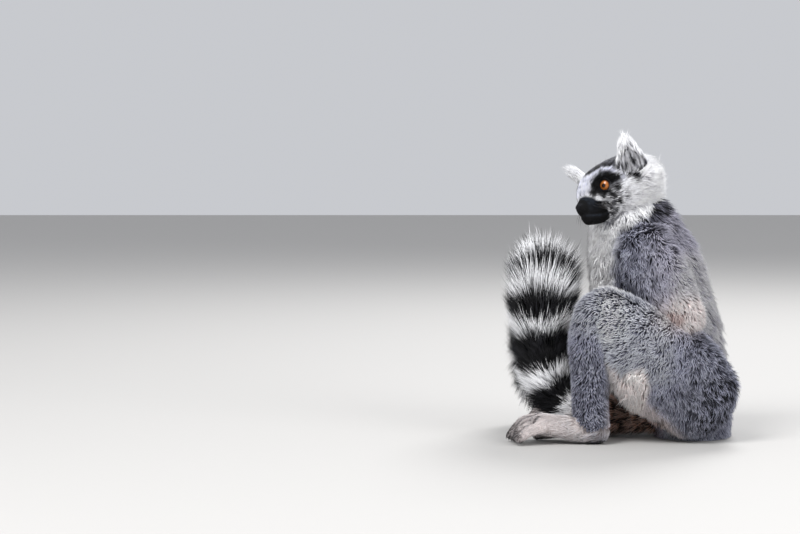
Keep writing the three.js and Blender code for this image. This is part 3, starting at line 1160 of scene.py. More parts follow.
@dataclass
class Markings:
    """The animal's colours at places on its skin: at a tuft's root, middle and tip."""

    points: Array
    zones: Array
    place: Array  # along their length, from 0 to 1
    ear: Array  # 1 on the left ear, -1 on the right, else 0
    fine: Noise = field(default_factory=lambda: Noise(6, 32))
    local: Array = field(init=False)  # the places in the head's axes
    slow: Array = field(init=False)
    grain: Array = field(init=False)
    layers: list[Array] = field(init=False)

    def colours(self) -> list[Array]:
        """Lays all the markings, with some painted light and shade, over a grey coat.

        Returns:
            Root, middle and tip colours.
        """
        self.local = to_head(self.points)
        self.slow, self.grain = Noise(5).at(self.points, 9.0), self.fine.at(self.points, 2.2)
        self.layers = [np.tile(c, (len(self.points), 1)) for c in (GREY_UNDER, GREY_MID, GREY_TIP)]
        self.trunk_and_arms()
        groin = self.legs()
        self.elbows()
        self.shading(groin)
        self.paws()
        self.rings()
        self.head()
        self.eye_patches()
        self.muzzle()
        self.ears()
        return self.layers

    def over(self, share: Array, *colours: Array) -> None:
        """Lays new root, middle and tip colours over the old ones, by a share at each place."""
        self.layers = [mix(old, new, share) for old, new in zip(self.layers, colours)]

    def nape_edge(self) -> Array:
        """Returns the height at which the white of the head meets the dark neck."""
        x = self.points[:, 0]
        return 217.0 + 0.5 * np.minimum(x, 24.0) + 1.95 * np.clip(x - 24.0, 0.0, 28.0)

    def trunk_and_arms(self) -> None:
        """Adds the brownish back, the dark nape and the white chest and inner arms."""
        x, y, z = self.points.T
        n, edge = self.slow, self.nape_edge()
        trunk, arm = in_zone(self.zones, Zone.TRUNK), in_zone(self.zones, Zone.ARM)
        back = np.where(trunk | arm, rise(8.0, 46.0, x + 5.0 * n) * rise(40.0, 90.0, z), 0.0)
        self.over(back, BACK_UNDER, BACK_MID, BACK_TIP)
        nape = rise(-56.0, -14.0, z - edge + 4.0 * n) * rise(-4.0, 8.0, x)
        nape = np.where(in_zone(self.zones, Zone.TRUNK, Zone.HEAD), nape, 0.0)
        self.over(nape * 0.72, NAPE_UNDER, NAPE_MID, NAPE_TIP)
        front = rise(3.0, -5.0, x - 0.10 * (z - 217.0) + 3.0 * n)
        throat = rise(-2.0, 4.0, z - edge + 3.0 * n)
        white = np.where(trunk, np.maximum(front, throat * rise(190.0, 215.0, z)), 0.0)
        inner = rise(46.0, 36.0, np.abs(y)) * rise(6.0, -10.0, x)
        self.over(np.maximum(white, np.where(arm, inner, 0.0)), WHITE_UNDER, WHITE, WHITE)

    def legs(self) -> Array:
        """Adds the cream insides of the legs and the rusty stain under the rump.

        Returns:
            How surely each place is on the groin, from 0 to 1.
        """
        x, y, z = self.points.T
        n, leg = self.slow, in_zone(self.zones, Zone.LEG)
        x_leg = x - RIGHT_KNEE_BACK * (y > 0) * rise(70.0, 0.0, x)
        inside = rise(60.0, 50.0, np.abs(y) + 3.0 * n) * rise(48.0, 20.0, x)
        under_thigh = rise(-4.0, -16.0, z - (62.0 + (x_leg - 20.0) * -0.9)) * rise(-26.0, -14.0, x_leg)
        groin = np.hypot((x_leg - 8.0) / 16.0, (z - 50.0) / 31.0) + 0.12 * n
        groin = rise(1.2, 0.8, groin) * rise(-22.0, -14.0, x_leg)
        cream = np.where(leg, np.maximum(np.maximum(inside * 0.9, under_thigh * 0.8), groin), 0.0)
        self.over(cream, CREAM_MID, CREAM_MID, CREAM_TIP)
        stain = rise(36.0, 16.0, z + 5.0 * n) * rise(-14.0, -2.0, x) * rise(54.0, 30.0, x)
        stain = np.where(in_zone(self.zones, Zone.LEG, Zone.TRUNK), stain, 0.0)
        self.over(stain * 0.85, RUST * 0.4, RUST * 0.9, mix(CREAM_TIP, RUST, 0.7))
        return groin

    def elbows(self) -> None:
        """Adds the cream at the elbows, with a small bare patch in it."""
        x, y, z = self.points.T
        side_on = rise(34.0, 50.0, np.abs(y))
        elbow = hump((x - 63.0) / 24.0, (z - 133.0) / 16.0) * side_on
        self.over(np.clip(elbow * 1.7, 0.0, 0.9), CREAM_MID, CREAM_MID, CREAM_TIP)
        bare = hump((x - 53.0) / 8.0, (z - 131.0) / 7.0) * side_on
        self.over(np.clip(bare * 1.3, 0.0, 0.85), PINK_SKIN * 0.6, PINK_SKIN, CREAM_MID)

    def shading(self, groin: Array) -> None:
        """Paints light and shade into the coat: paler on the knees, shanks and back, darker on the rump.

        Args:
            groin: How surely each place is on the groin.
        """
        x, _, z = self.points.T
        trunk, leg, arm = (in_zone(self.zones, zone) for zone in (Zone.TRUNK, Zone.LEG, Zone.ARM))
        # Painted light and shade: the knees, outer thighs, groin and upper back are made paler, as if lit,
        # and the low rump darker, as if shaded.
        shade = 1.0 + np.where(leg, 0.30 * rise(90.0, 130.0, z) * rise(10.0, -30.0, x), 0.0)
        shade += np.where(leg, 0.30 * rise(45.0, 75.0, z) * rise(-34.0, -16.0, x) * rise(66.0, 36.0, x), 0.0)
        shade += np.where(leg, 0.2 * groin, 0.0)
        shade -= np.where(leg | trunk, 0.26 * rise(90.0, 50.0, z) * rise(50.0, 90.0, x), 0.0)
        shade += np.where(trunk | arm, 0.34 * rise(28.0, 60.0, x) * rise(215.0, 180.0, z), 0.0)
        self.layers[1:] = [np.minimum(layer * shade[:, None], 0.98) for layer in self.layers[1:]]

    def paws(self) -> None:
        """Adds the paler hands and feet with their darker ends and soles, and painted shade between the toes.
        """
        foot, hand = in_zone(self.zones, Zone.FOOT), in_zone(self.zones, Zone.HAND)
        y, z = self.points[:, 1], self.points[:, 2]
        x = self.points[:, 0] - RIGHT_KNEE_BACK * (y > 0)
        heel = rise(-50.0, -30.0, x) * foot
        paw = np.where(foot | hand, 0.85 + 0.12 * self.slow - 0.4 * heel, 0.0)
        self.over(paw, CREAM_MID * 0.7, CREAM_TIP * 0.92, WHITE * 0.97)
        # Painted shade in the gaps between the toes, where shadow would fall.
        slot = (np.abs(y) - FOOT_SPAN) / (TOE_STEP + 0.08 * np.maximum(-84.0 - x, 0.0))
        gap = hump((slot - np.round(slot)) / 0.2) * (np.abs(slot) < 1.4)
        toes = np.maximum(rise(-104.0, -114.0, x) * 0.55, gap * rise(-84.0, -94.0, x) * 0.95)
        ends = np.where(foot, toes, np.where(hand, rise(104.0, 88.0, z) * 0.55, 0.0))
        sole = np.where(foot, rise(6.0, 3.0, z), 0.0)
        self.over(np.maximum(ends, sole * 0.9), BLACK_UNDER, NAPE_UNDER, NAPE_MID)

    def rings(self) -> None:
        """Adds the tail's black and white rings and its rusty base."""
        tail = in_zone(self.zones, Zone.TAIL)
        reach = self.place * TAIL_LENGTH + 3.0 * self.fine.at(self.points, 5.0)
        dark = rise(-2.0, 2.0, reach - (TAIL_LENGTH - TIP_BLACK))
        for centre, half, strength in RINGS:
            dark = np.maximum(dark, strength * rise(half + 2.0, half - 2.0, np.abs(reach - centre)))
        self.over(tail * 1.0, GREY_MID, WHITE * 0.75, WHITE * 0.97)
        base = rise(105.0, 70.0, reach) * 0.9
        self.over(tail * base, RUST * 0.3, RUST * 0.75, mix(CREAM_TIP, RUST, 0.55))
        self.over(tail * dark, BLACK_UNDER, BLACK_TIP * 0.8, BLACK_TIP)

    def head(self) -> None:
        """Adds the white head, its greyish brow and cheeks and the dark crown."""
        x, y, z = self.local.T
        n, grain, head = self.slow, self.grain, in_zone(self.zones, Zone.HEAD)
        on_head = rise(-3.0, 3.0, self.points[:, 2] - self.nape_edge() + 3.0 * n)
        self.over(np.where(head, on_head, 0.0), WHITE_UNDER, WHITE, WHITE)
        brow = rise(-18.0, -4.0, x) * rise(-6.0, 2.0, z) * (0.5 + 0.4 * grain)
        self.over(np.where(head, brow, 0.0), WHITE_UNDER * 0.6, GREY_TIP * 0.8, GREY_TIP)
        cheek = hump((x - 3.0) / 15.0, (z + 17.0) / 9.0) * rise(6.0, 12.0, np.abs(y))
        cheek = cheek * np.clip(0.55 + 0.8 * grain, 0.0, 0.9)
        self.over(np.where(head, cheek, 0.0), NAPE_UNDER, NAPE_MID, NAPE_TIP)
        span = np.interp(x, [-60, -45, -34, -22, -14, -8, -2, 4, 8], [7, 8, 10, 15, 18, 17, 14, 10, 5])
        lobe = 11.0 * hump((x + 11.5) / 6.0)
        cap = rise(3.0, -3.0, np.abs(y) - span - lobe + 2.0 * n + 1.5 * grain) * rise(8.0, 12.0, z)
        cap = cap * rise(12.0, 5.0, x)
        strip = rise(10.0, 2.0, np.abs(y) + 2.0 * n) * rise(-30.0, -38.0, x) * 0.8
        cap = np.where(head & (self.ear == 0), np.maximum(cap, strip), 0.0)
        self.over(cap * 0.95, NAPE_UNDER, NAPE_MID * 0.8, NAPE_TIP * 0.6)

    def eye_patches(self) -> None:
        """Adds the dark patches round the eyes, with a greyish shade under them."""
        grain, head = self.grain, in_zone(self.zones, Zone.HEAD)
        wobble = 1.2 * grain + 0.8 * self.slow
        for eye in (Eye(1), Eye(-1)):
            rel = self.local - eye.centre
            a, u = rel @ eye.level * eye.side, rel @ eye.up
            near = rise(-2.0, 3.0, rel @ eye.gaze)
            main_patch = np.sqrt(((a - 1.0) / 13.6) ** 2 + ((u - 1.2) / 12.6) ** 2) * 13.0 - 13.0
            tear = np.sqrt(((a + 9.0) / 5.5) ** 2 + ((u + 3.5) / 4.0) ** 2) * 5.0 - 5.0
            off = np.minimum(main_patch, tear) + wobble
            shade = np.where(head, rise(5.0, -1.0, off) * near * rise(6.0, -4.0, u) * 0.42, 0.0)
            self.over(shade, NAPE_UNDER, NAPE_MID, NAPE_TIP)
            streaked = rise(0.0, 8.0, a) * rise(1.0, -7.0, u) * np.clip(0.65 + 0.7 * grain, 0.0, 1.0)
            patch = np.where(head, rise(2.2, -3.2, off) * near * (1.0 - 0.7 * streaked), 0.0)
            self.over(patch, BLACK_UNDER, BLACK_UNDER, BLACK_TIP)

    def muzzle(self) -> None:
        """Adds the black muzzle with a painted sheen on its top, a painted highlight along the lower lip and
        the grey behind it.
        """
        x, _, z = self.local.T
        grain, head = self.grain, in_zone(self.zones, Zone.HEAD)
        edge = np.clip(13.0 + 0.86 * (z + 19.0), 7.0, 27.0)
        corner = hump((x - edge + 4.0) / 6.0) * rise(-12.0, -18.0, z) * np.clip(0.8 + 0.6 * grain, 0.0, 1.0)
        self.over(np.where(head, corner * 0.8, 0.0), BLACK_UNDER, NAPE_MID, NAPE_MID)
        ragged = (0.7 + 1.8 * rise(-8.0, -14.0, z)) * grain
        muzzle = np.where(head, rise(-3.0, 2.0, x - edge + ragged), 0.0)
        self.over(muzzle, BLACK_UNDER * 0.6, BLACK_UNDER * 0.6, BLACK_TIP * 0.4)
        # Painted sheen: the top of the muzzle is made paler and bluer, as if lit from above.
        painted_sheen = muzzle * rise(-24.0, -12.0, z + 0.25 * (x - 20.0)) * rise(31.0, 27.0, x)
        self.over(painted_sheen, BLACK_UNDER, PAINTED_SHEEN, PAINTED_SHEEN)
        # Painted highlight along the lower lip, just below the mouth's line.
        lip_highlight = hump((z - Face().height(x) + 2.4) / 1.2) * muzzle * rise(35.0, 31.0, x) * rise(7.0, 11.0, x)
        self.over(lip_highlight * 0.8, BLACK_UNDER, PAINTED_SHEEN * 1.3, PAINTED_SHEEN * 1.3)

    def ears(self) -> None:
        """Adds the ears' white backs and edges, grey insides and the painted shade of the ear hole."""
        self.over((self.ear != 0) * 1.0, WHITE_UNDER, WHITE, WHITE)
        for side in (1, -1):
            shell = Ear(side)
            h, w, f = shell.place(self.local)
            inside = np.where(self.ear == side, shell.within(self.local), 0.0)
            strand = self.fine.at(np.stack([w, h * 0.16, f * 0.3], axis=1), 1.5)
            inside = inside * np.clip(0.52 + 0.8 * strand, 0.0, 1.0)
            self.over(inside, NAPE_UNDER, NAPE_MID * 1.3, NAPE_TIP * 1.3)
            # Painted shade: the ear's opening is darkened, as if in the shadow of its hollow; the skin has no
            # hole there.
            hole = hump((w - 1.5 * side) / 8.5, (h + shell.axes()[4] * 0.5) / 9.5)
            hole = np.where((f > -1.0) & (f < 10.0), np.clip(hole * 2.4 - 0.4, 0.0, 1.0), 0.0)
            self.over(hole, EAR_HOLE_SHADE, EAR_HOLE_SHADE, NAPE_UNDER)


# ---- The coat -----------------------------------------------------------------------------------


@dataclass(frozen=True)
class Growth:
    """How tufts stand in one zone."""

    spacing: float  # millimetres between roots
    lift: float  # degrees off the skin
    width: float
    ruffle: float = 24.0  # degrees that locks stray
    fullness: float = 1.0


GROWTHS = {
    Zone.TRUNK: Growth(1.36, 44.0, 1.45),
    Zone.LEG: Growth(1.3, 52.0, 1.4, 34.0),
    Zone.FOOT: Growth(1.25, 17.0, 0.8, 12.0),
    Zone.ARM: Growth(1.34, 48.0, 1.4, 34.0),
    Zone.HAND: Growth(1.3, 17.0, 0.75, 12.0),
    Zone.TAIL: Growth(0.87, 54.0, 1.02, 20.0, 1.1),
    Zone.HEAD: Growth(0.92, 36.0, 0.85, 20.0),
    Zone.EAR: Growth(1.0, 32.0, 0.9, 16.0),
}


def growth_of(what: str, zones: Array) -> Array:
    """Returns one measure of the growth at places, given by their zone numbers."""
    return np.array([getattr(GROWTHS[zone], what) for zone in ZONES])[zones]


@dataclass
class Tufts:
    """A field of tufts, one row each."""

    root: Array
    normal: Array
    lie: Array
    depth: Array
    lift: Array
    width: Array
    place: Array
    angle: Array
    owner: Array
    ear: Array
    zone: Array

    def pick(self, rows: Array) -> "Tufts":
        """Returns only some of the tufts."""
        return Tufts(*(getattr(self, name)[rows] for name in self.__dataclass_fields__))


TUFT_FACES = np.array(
    [
        (0, 2, 1), (0, 1, 4), (0, 4, 3), (1, 2, 5), (1, 5, 4), (2, 0, 3), (2, 3, 5),
        (3, 4, 6), (4, 5, 6), (5, 3, 6),
    ]
)
TUFT_POINTS = 7
ROOT_SINK = 0.35  # how far roots start under the skin
ROOT_FLOOR, MIDDLE_FLOOR, TIP_FLOOR, LOWEST = 1.2, 0.6, 0.4, 0.25  # least heights of a tuft's parts
MAP_PATCH = 0.003
TUFT_MAP = np.array([(0, 0), (1, 0), (0.5, 0), (0, 0.5), (1, 0.5), (0.5, 0.5), (0.5, 1)]) * MAP_PATCH
PIECE_LIMIT = 19500  # tufts in one piece


@dataclass
class Coat:
    """All the hair of the animal."""

    skin: Skin
    survey: Survey
    hair: bpy.types.Material
    seed: int = 11

    def plant(self) -> Tufts:
        """Scatters roots over the skin, as close together as each zone asks.

        Returns:
            The tufts.
        """
        rng = np.random.default_rng(self.seed)
        points, quads, survey = self.skin.points, self.skin.quads, self.survey
        spacing = growth_of("spacing", survey.zone) * self.face_closeness(points)
        corner = points[quads]
        area = np.linalg.norm(np.cross(corner[:, 2] - corner[:, 0], corner[:, 3] - corner[:, 1]), axis=1) / 2
        share = area / spacing[quads[:, 0]] ** 2
        total = np.cumsum(share)
        count = int(total[-1])
        face = np.searchsorted(total, np.arange(count) + rng.random(count))
        face = np.minimum(face, len(quads) - 1)
        u, v = rng.random((2, count, 1))
        weights = np.concatenate([(1 - u) * (1 - v), u * (1 - v), u * v, (1 - u) * v], axis=1)
        ids = quads[face]

        def spread(values: Array) -> Array:
            """Returns point values at the roots."""
            return np.einsum("nk,nk...->n...", weights, values[ids])

        nearest = ids[np.arange(count), np.argmax(weights, axis=1)]
        zone = survey.zone[nearest]
        lift = growth_of("lift", zone)
        lift = lift + 8.0 * (1.0 - survey.sureness[nearest]) * (lift > 25.0)
        return Tufts(
            spread(points), unit(spread(survey.normals)), unit(spread(survey.lie)), spread(survey.depth),
            lift, growth_of("width", zone), survey.place[nearest], survey.angle[nearest],
            survey.owner[nearest], survey.ear[nearest], zone,
        )

    def face_closeness(self, points: Array) -> Array:
        """Finds how much closer together roots are on the face.

        Args:
            points: Places on the skin.

        Returns:
            A factor on the spacing at each.
        """
        x = to_head(points)[:, 0]
        near = np.linalg.norm(points - HEAD_AT, axis=1) < FACE_REACH
        return np.where(near, 1.0 - 0.25 * rise(-8.0, 8.0, x), 1.0)

    def comb(self, tufts: Tufts) -> tuple[Array, Array, Array]:
        """Ruffles the tufts and bends them.

        Args:
            tufts: The tufts.

        Returns:
            Each tuft's middle, tip and sideways direction.
        """
        rng = np.random.default_rng(self.seed + 1)
        count = len(tufts.root)
        swirl = Noise(21).at(tufts.root, 8.0) * 1.3 + rng.normal(0.0, 0.55, count)
        turn_by = np.radians(growth_of("ruffle", tufts.zone) * swirl)
        lift = tufts.lift * (1.0 + 0.22 * Noise(22).at(tufts.root, 7.0)) + rng.normal(0.0, 5.0, count)
        lift = np.clip(lift, 6.0, 75.0)
        across = np.cross(tufts.normal, tufts.lie)
        lie = unit(tufts.lie * np.cos(turn_by)[:, None] + across * np.sin(turn_by)[:, None])
        first, second = np.radians(lift + 9.0), np.radians(np.maximum(lift - 14.0, 2.0))
        shaggy = in_zone(tufts.zone, Zone.TRUNK, Zone.HEAD)
        uneven = 1.0 + 0.28 * shaggy * rise(3.0, 9.0, tufts.depth) * Noise(23).at(tufts.root, 6.0)
        full = growth_of("fullness", tufts.zone) * uneven
        height = tufts.depth * full * (0.88 + 0.2 * rng.random(count) ** 2)
        length = height / (0.5 * (np.sin(first) + np.sin(second)))
        length = np.minimum(length, tufts.depth * 3.4 + 0.6)
        upright = np.zeros_like(lie)
        for side in (1, -1):
            upright[tufts.ear == side] = HEAD_AXES @ Ear(side).axes()[1]

        def step(angle: Array) -> Array:
            """Returns half of each tuft, at an angle off the skin."""
            way = lie * np.cos(angle)[:, None] + tufts.normal * np.sin(angle)[:, None]
            return unit(way + upright * 0.9) * (length / 2.0)[:, None]

        middle = tufts.root - tufts.normal * ROOT_SINK + step(first)
        tip = middle + step(second)
        over = np.clip(self.skin.depth_at(tip) - height, 0.0, 9.0)[:, None] * tufts.normal
        middle, tip = middle - over * 0.3, tip - over * 0.95
        middle[:, 2] = np.maximum(middle[:, 2], MIDDLE_FLOOR)
        tip[:, 2] = np.maximum(tip[:, 2], TIP_FLOOR)
        return middle, tip, unit(np.cross(lie, tufts.normal))

    def keep_clear(self, tufts: Tufts, middle: Array, tip: Array) -> Array:
        """Finds tufts that stay out of the floor, the eyes and the body's other parts.

        Args:
            tufts: The tufts.
            middle: Their middles.
            tip: Their tips.

        Returns:
            True for each tuft that is kept.
        """
        local = to_head(tufts.root)
        clear = tufts.root[:, 2] > ROOT_FLOOR
        clear &= self.skin.depth_at(tip) > np.minimum(0.15 * tufts.depth, 1.2)
        clear &= self.skin.depth_at(middle) > 0.0
        clear &= np.linalg.norm((local - np.array(Nose.centre)) / np.array(Nose.size), axis=1) > 1.12
        for side in (1, -1):
            eye = Eye(side)
            rel = local - eye.centre
            clear &= np.linalg.norm(rel, axis=1) > EYE_RADIUS + ROOT_SINK
            ring = np.hypot(rel @ eye.level / eye.opening[0], rel @ eye.up / eye.opening[1])
            clear &= ~((rel @ eye.gaze > 2.0) & (ring < 1.3))
        return clear

    def cover(self, hide: bpy.types.Material) -> None:
        """Makes the skin itself, marked like the coat.

        Args:
            hide: Its finish.
        """
        obj = make_piece("skin", self.skin.points, self.skin.quads, hide)
        survey = self.survey
        under, middle, _ = Markings(self.skin.points, survey.zone, survey.place, survey.ear).colours()
        tint_points(obj, "coat", mix(under, middle, 0.4))
        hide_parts(*(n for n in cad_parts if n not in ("left_eye", "right_eye", "nose")))

    def build(self) -> None:
        """Makes all the pieces of the coat."""
        tufts = self.plant()
        middle, tip, across = self.comb(tufts)
        keep = self.keep_clear(tufts, middle, tip)
        tufts, middle, tip, across = tufts.pick(keep), middle[keep], tip[keep], across[keep]
        reach = (tip - tufts.root) * 0.6
        shown = tufts.root + reach - tufts.normal * dot(reach, tufts.normal)[:, None]
        shown = np.where(in_zone(tufts.zone, Zone.TAIL)[:, None], tufts.root, shown)
        colours = Markings(shown, tufts.zone, tufts.place, tufts.ear).colours()
        names = self.piece_names(tufts)
        for name in np.unique(names):
            rows = np.flatnonzero(names == name)
            if len(rows) > PIECE_LIMIT:
                log.info("%s has %d tufts and is thinned", name, len(rows))
                rows = rows[:: 1 + len(rows) // PIECE_LIMIT]
            self.piece(str(name), tufts.pick(rows), middle[rows], tip[rows], across[rows],
                       [c[rows] for c in colours])

    def piece_names(self, tufts: Tufts) -> Array:
        """Sorts the tufts into pieces.

        Args:
            tufts: The tufts.

        Returns:
            The name of each one's piece.
        """
        names = np.array([r.length.name for r in self.skin.rings])[tufts.owner].astype("<U32")
        limb = {"thigh": "thigh", "shank": "shank", "instep": "foot", "toe": "foot", "upper": "arm",
                "forearm": "arm", "palm": "hand", "finger": "hand", "thumb": "hand"}
        for number, rings in enumerate(self.skin.rings):
            parts = rings.length.name.split("_")
            if len(parts) > 1:
                names[tufts.owner == number] = f"{parts[0]}_{limb[parts[1]]}_coat"
        third = np.minimum((tufts.place * 3).astype(int), 2)
        for k, part in enumerate(("base", "middle", "end")):
            names[(names == "tail") & (third == k)] = f"tail_{part}_coat"
        trunk = names == "trunk"
        names[trunk & (tufts.place < 0.5)] = "rump_coat"
        names[trunk & (tufts.place >= 0.5)] = "chest_coat"
        head = (names == "skull") | (names == "jaw")
        front = to_head(tufts.root)[:, 0] > -12.0
        names[head & front] = "face_coat"
        names[head & ~front] = "crown_coat"
        names[tufts.ear == 1], names[tufts.ear == -1] = "left_ear_coat", "right_ear_coat"
        return names

    def piece(self, name: str, tufts: Tufts, middle: Array, tip: Array, across: Array,
              colours: list[Array]) -> None:
        """Makes one piece of the coat.

        Args:
            name: The piece's name.
            tufts: Its tufts.
            middle: Their middles.
            tip: Their tips.
            across: Their sideways directions.
            colours: Their root, middle and tip colours.
        """
        rng = np.random.default_rng(len(tufts.root))
        count = len(tufts.root)
        size = tufts.width * (0.75 + 0.5 * rng.random(count)) * np.clip(tufts.depth / 4.0, 0.55, 1.0)
        root = tufts.root - tufts.normal * ROOT_SINK
        points = np.empty((count, TUFT_POINTS, 3))
        for start, centre, share in ((0, root, 0.5), (3, middle, 0.42)):
            half = (size * share)[:, None]
            ridge = unit(np.cross(across, tip - root))
            points[:, start] = centre - across * half
            points[:, start + 1] = centre + across * half
            points[:, start + 2] = centre + ridge * half * 0.7
        points[:, 6] = tip
        points[:, :, 2] = np.maximum(points[:, :, 2], LOWEST)
        faces = (np.arange(count)[:, None, None] * TUFT_POINTS + TUFT_FACES).reshape(-1, 3)
        obj = make_piece(name, points.reshape(-1, 3), faces, self.hair)
        glow = self.speckle(tufts, colours[2])[:, None]
        shades = np.stack([colours[0]] * 3 + [colours[1] * glow] * 3 + [colours[2] * glow], axis=1)
        tint_points(obj, "coat", np.clip(shades, 0.0, 1.0).reshape(-1, 3))
        self.map_tufts(obj, tufts, faces)
        log.info("%s: %d tufts", name, count)

    def speckle(self, tufts: Tufts, tip: Array) -> Array:
        """Peppers grey coats, and white ones barely.

        Args:
            tufts: The tufts.
            tip: Their tip colours.

        Returns:
            A factor on each one's brightness.
        """
        rng = np.random.default_rng(self.seed + 7)
        clump = Noise(31, 32).at(tufts.root, 2.9)
        pale = rise(-0.5, 0.45, clump * 1.7 + rng.normal(0.0, 0.32, len(clump)) - 0.03)
        pepper = 0.05 + 1.42 * pale
        share = np.clip((0.9 - tip.mean(axis=1)) / 0.3, 0.12, 1.0)
        return 1.0 + share * (pepper - 1.0)

    def map_tufts(self, obj: bpy.types.Object, tufts: Tufts, faces: Array) -> None:
        """Lays each tuft's patch at its root's place on an unwrap of the skin.

        Args:
            obj: The piece.
            tufts: Its tufts.
            faces: Its faces.
        """
        owners = np.unique(tufts.owner)
        strip = np.searchsorted(owners, tufts.owner)
        low, high = tufts.place.min(), tufts.place.max()
        along_strip = (tufts.place - low) / max(high - low, 1e-6)
        u = 0.01 + 0.975 * (tufts.angle / (2.0 * math.pi) + 0.5)
        v = 0.01 + 0.975 * (strip + along_strip * 0.97) / len(owners)
        place = np.stack([u, v], axis=1)[:, None, :] + TUFT_MAP[None]
        layer = obj.data.uv_layers.new(name="OFBake")
        layer.data.foreach_set("uv", place.reshape(-1, 2)[faces.ravel()].astype(np.float32).ravel())


# ---- Finishes -----------------------------------------------------------------------------------


def new_group(name: str, inputs: dict[str, float], outputs: tuple[str, ...]) -> bpy.types.NodeTree:
    """Starts a shader node group.

    Args:
        name: The group's name.
        inputs: Its number inputs and their usual values.
        outputs: Its outputs; one called Color carries a colour.

    Returns:
        The group, with its input and output nodes.
    """
    group = bpy.data.node_groups.new(name, "ShaderNodeTree")
    for key, value in inputs.items():
        group.interface.new_socket(key, in_out="INPUT", socket_type="NodeSocketFloat").default_value = value
    for key in outputs:
        kind = "NodeSocketColor" if key == "Color" else "NodeSocketFloat"
        group.interface.new_socket(key, in_out="OUTPUT", socket_type=kind)
    group.nodes.new("NodeGroupInput").name = "in"
    group.nodes.new("NodeGroupOutput").name = "out"
    return group


def grain_group() -> bpy.types.NodeTree:
    """Makes a group that gives a surface's fine grain as a height and a share.

    Returns:
        The group; its inputs are the grain's size per metre and its contrast.
    """
    group = new_group("surface_grain", {"Scale": 900.0, "Contrast": 1.0}, ("Height", "Share"))
    nodes, links = group.nodes, group.links
    place = nodes.new("ShaderNodeTexCoord")
    noise = nodes.new("ShaderNodeTexNoise")
    noise.inputs["Detail"].default_value = 3.0
    spread = nodes.new("ShaderNodeMath")
    spread.operation = "MULTIPLY"
    links.new(place.outputs["Object"], noise.inputs["Vector"])
    links.new(nodes["in"].outputs["Scale"], noise.inputs["Scale"])
    links.new(noise.outputs["Fac"], spread.inputs[0])
    links.new(nodes["in"].outputs["Contrast"], spread.inputs[1])
    links.new(noise.outputs["Fac"], nodes["out"].inputs["Height"])
    links.new(spread.outputs["Value"], nodes["out"].inputs["Share"])
    return group


def marked_group() -> bpy.types.NodeTree:
    """Makes a group that gives the marking of a place, varied a little by a grain share.

    Returns:
        The group.
    """
    group = new_group("marked_colour", {"Grain": 0.5, "Variation": 0.3}, ("Color",))
    nodes, links = group.nodes, group.links
    marking = nodes.new("ShaderNodeAttribute")
    marking.attribute_name = "coat"
    level = nodes.new("ShaderNodeMapRange")
    level.inputs["From Min"].default_value = 0.25
    level.inputs["From Max"].default_value = 0.75
    low = nodes.new("ShaderNodeMath")
    low.operation = "SUBTRACT"
    low.inputs[0].default_value = 1.0
    high = nodes.new("ShaderNodeMath")
    high.operation = "ADD"
    high.inputs[0].default_value = 1.0
    scale = nodes.new("ShaderNodeVectorMath")
    scale.operation = "SCALE"
    links.new(nodes["in"].outputs["Variation"], low.inputs[1])
    links.new(nodes["in"].outputs["Variation"], high.inputs[1])
    links.new(nodes["in"].outputs["Grain"], level.inputs["Value"])
    links.new(low.outputs["Value"], level.inputs["To Min"])
    links.new(high.outputs["Value"], level.inputs["To Max"])
    links.new(marking.outputs["Color"], scale.inputs[0])
    links.new(level.outputs["Result"], scale.inputs["Scale"])
    links.new(scale.outputs["Vector"], nodes["out"].inputs["Color"])
    return group


@dataclass(frozen=True)
class Finish:
    """A finish: marked or one colour, with a grain."""

    name: str
    roughness: float
    colour: Triple | None = None  # None takes the marking
    grain_scale: float = 900.0
    variation: float = 0.25
    bump: float = 0.0
    bump_depth: float = 0.0004
    specular: float = 0.3
    wet: float = 0.0

    def build(self, groups: dict[str, bpy.types.NodeTree]) -> bpy.types.Material:
        """Makes the material.

        Args:
            groups: The shared node groups by name.

        Returns:
            The material.
        """
        material = bpy.data.materials.new(self.name)
        material.use_nodes = True
        nodes, links = material.node_tree.nodes, material.node_tree.links
        shader = nodes["Principled BSDF"]
        grain = nodes.new("ShaderNodeGroup")
        grain.node_tree = groups["surface_grain"]
        grain.inputs["Scale"].default_value = self.grain_scale
        if self.colour is None:
            marked = nodes.new("ShaderNodeGroup")
            marked.node_tree = groups["marked_colour"]
            marked.inputs["Variation"].default_value = self.variation
            links.new(grain.outputs["Share"], marked.inputs["Grain"])
            links.new(marked.outputs["Color"], shader.inputs["Base Color"])
        else:
            ramp = nodes.new("ShaderNodeValToRGB")
            stops = ((0.3, 1.0 - self.variation), (0.7, 1.0 + self.variation))
            for element, (position, factor) in zip(ramp.color_ramp.elements, stops):
                element.position = position
                element.color = (*(min(1.0, c * factor) for c in self.colour), 1.0)
            links.new(grain.outputs["Share"], ramp.inputs["Fac"])
            links.new(ramp.outputs["Color"], shader.inputs["Base Color"])
        if self.bump > 0.0:
            bump = nodes.new("ShaderNodeBump")
            bump.inputs["Strength"].default_value = self.bump
            bump.inputs["Distance"].default_value = self.bump_depth
            links.new(grain.outputs["Height"], bump.inputs["Height"])
            links.new(bump.outputs["Normal"], shader.inputs["Normal"])
        shader.inputs["Roughness"].default_value = self.roughness
        shader.inputs["Specular IOR Level"].default_value = self.specular
        shader.inputs["Coat Weight"].default_value = self.wet
        shader.inputs["Coat Roughness"].default_value = 0.04
        return material


FINISHES = {
    "hair": Finish("hair", 0.62, specular=0.18, variation=0.12, grain_scale=1500.0),
    "hide": Finish("hide", 0.75, variation=0.3, specular=0.15, bump=0.6, grain_scale=1100.0),
    "eye": Finish("eye", 0.25, variation=0.05, specular=0.15, wet=0.7),
    "leather": Finish("leather", 0.52, (0.006, 0.006, 0.008), 2400.0, 0.4, 0.5, 0.00025, 0.12, 0.0),
    "horn": Finish("horn", 0.35, (0.022, 0.019, 0.018), 700.0, 0.4, 0.0, 0.0003, 0.5),
}


# ---- Eyes, nose, nails and whiskers -------------------------------------------------------------


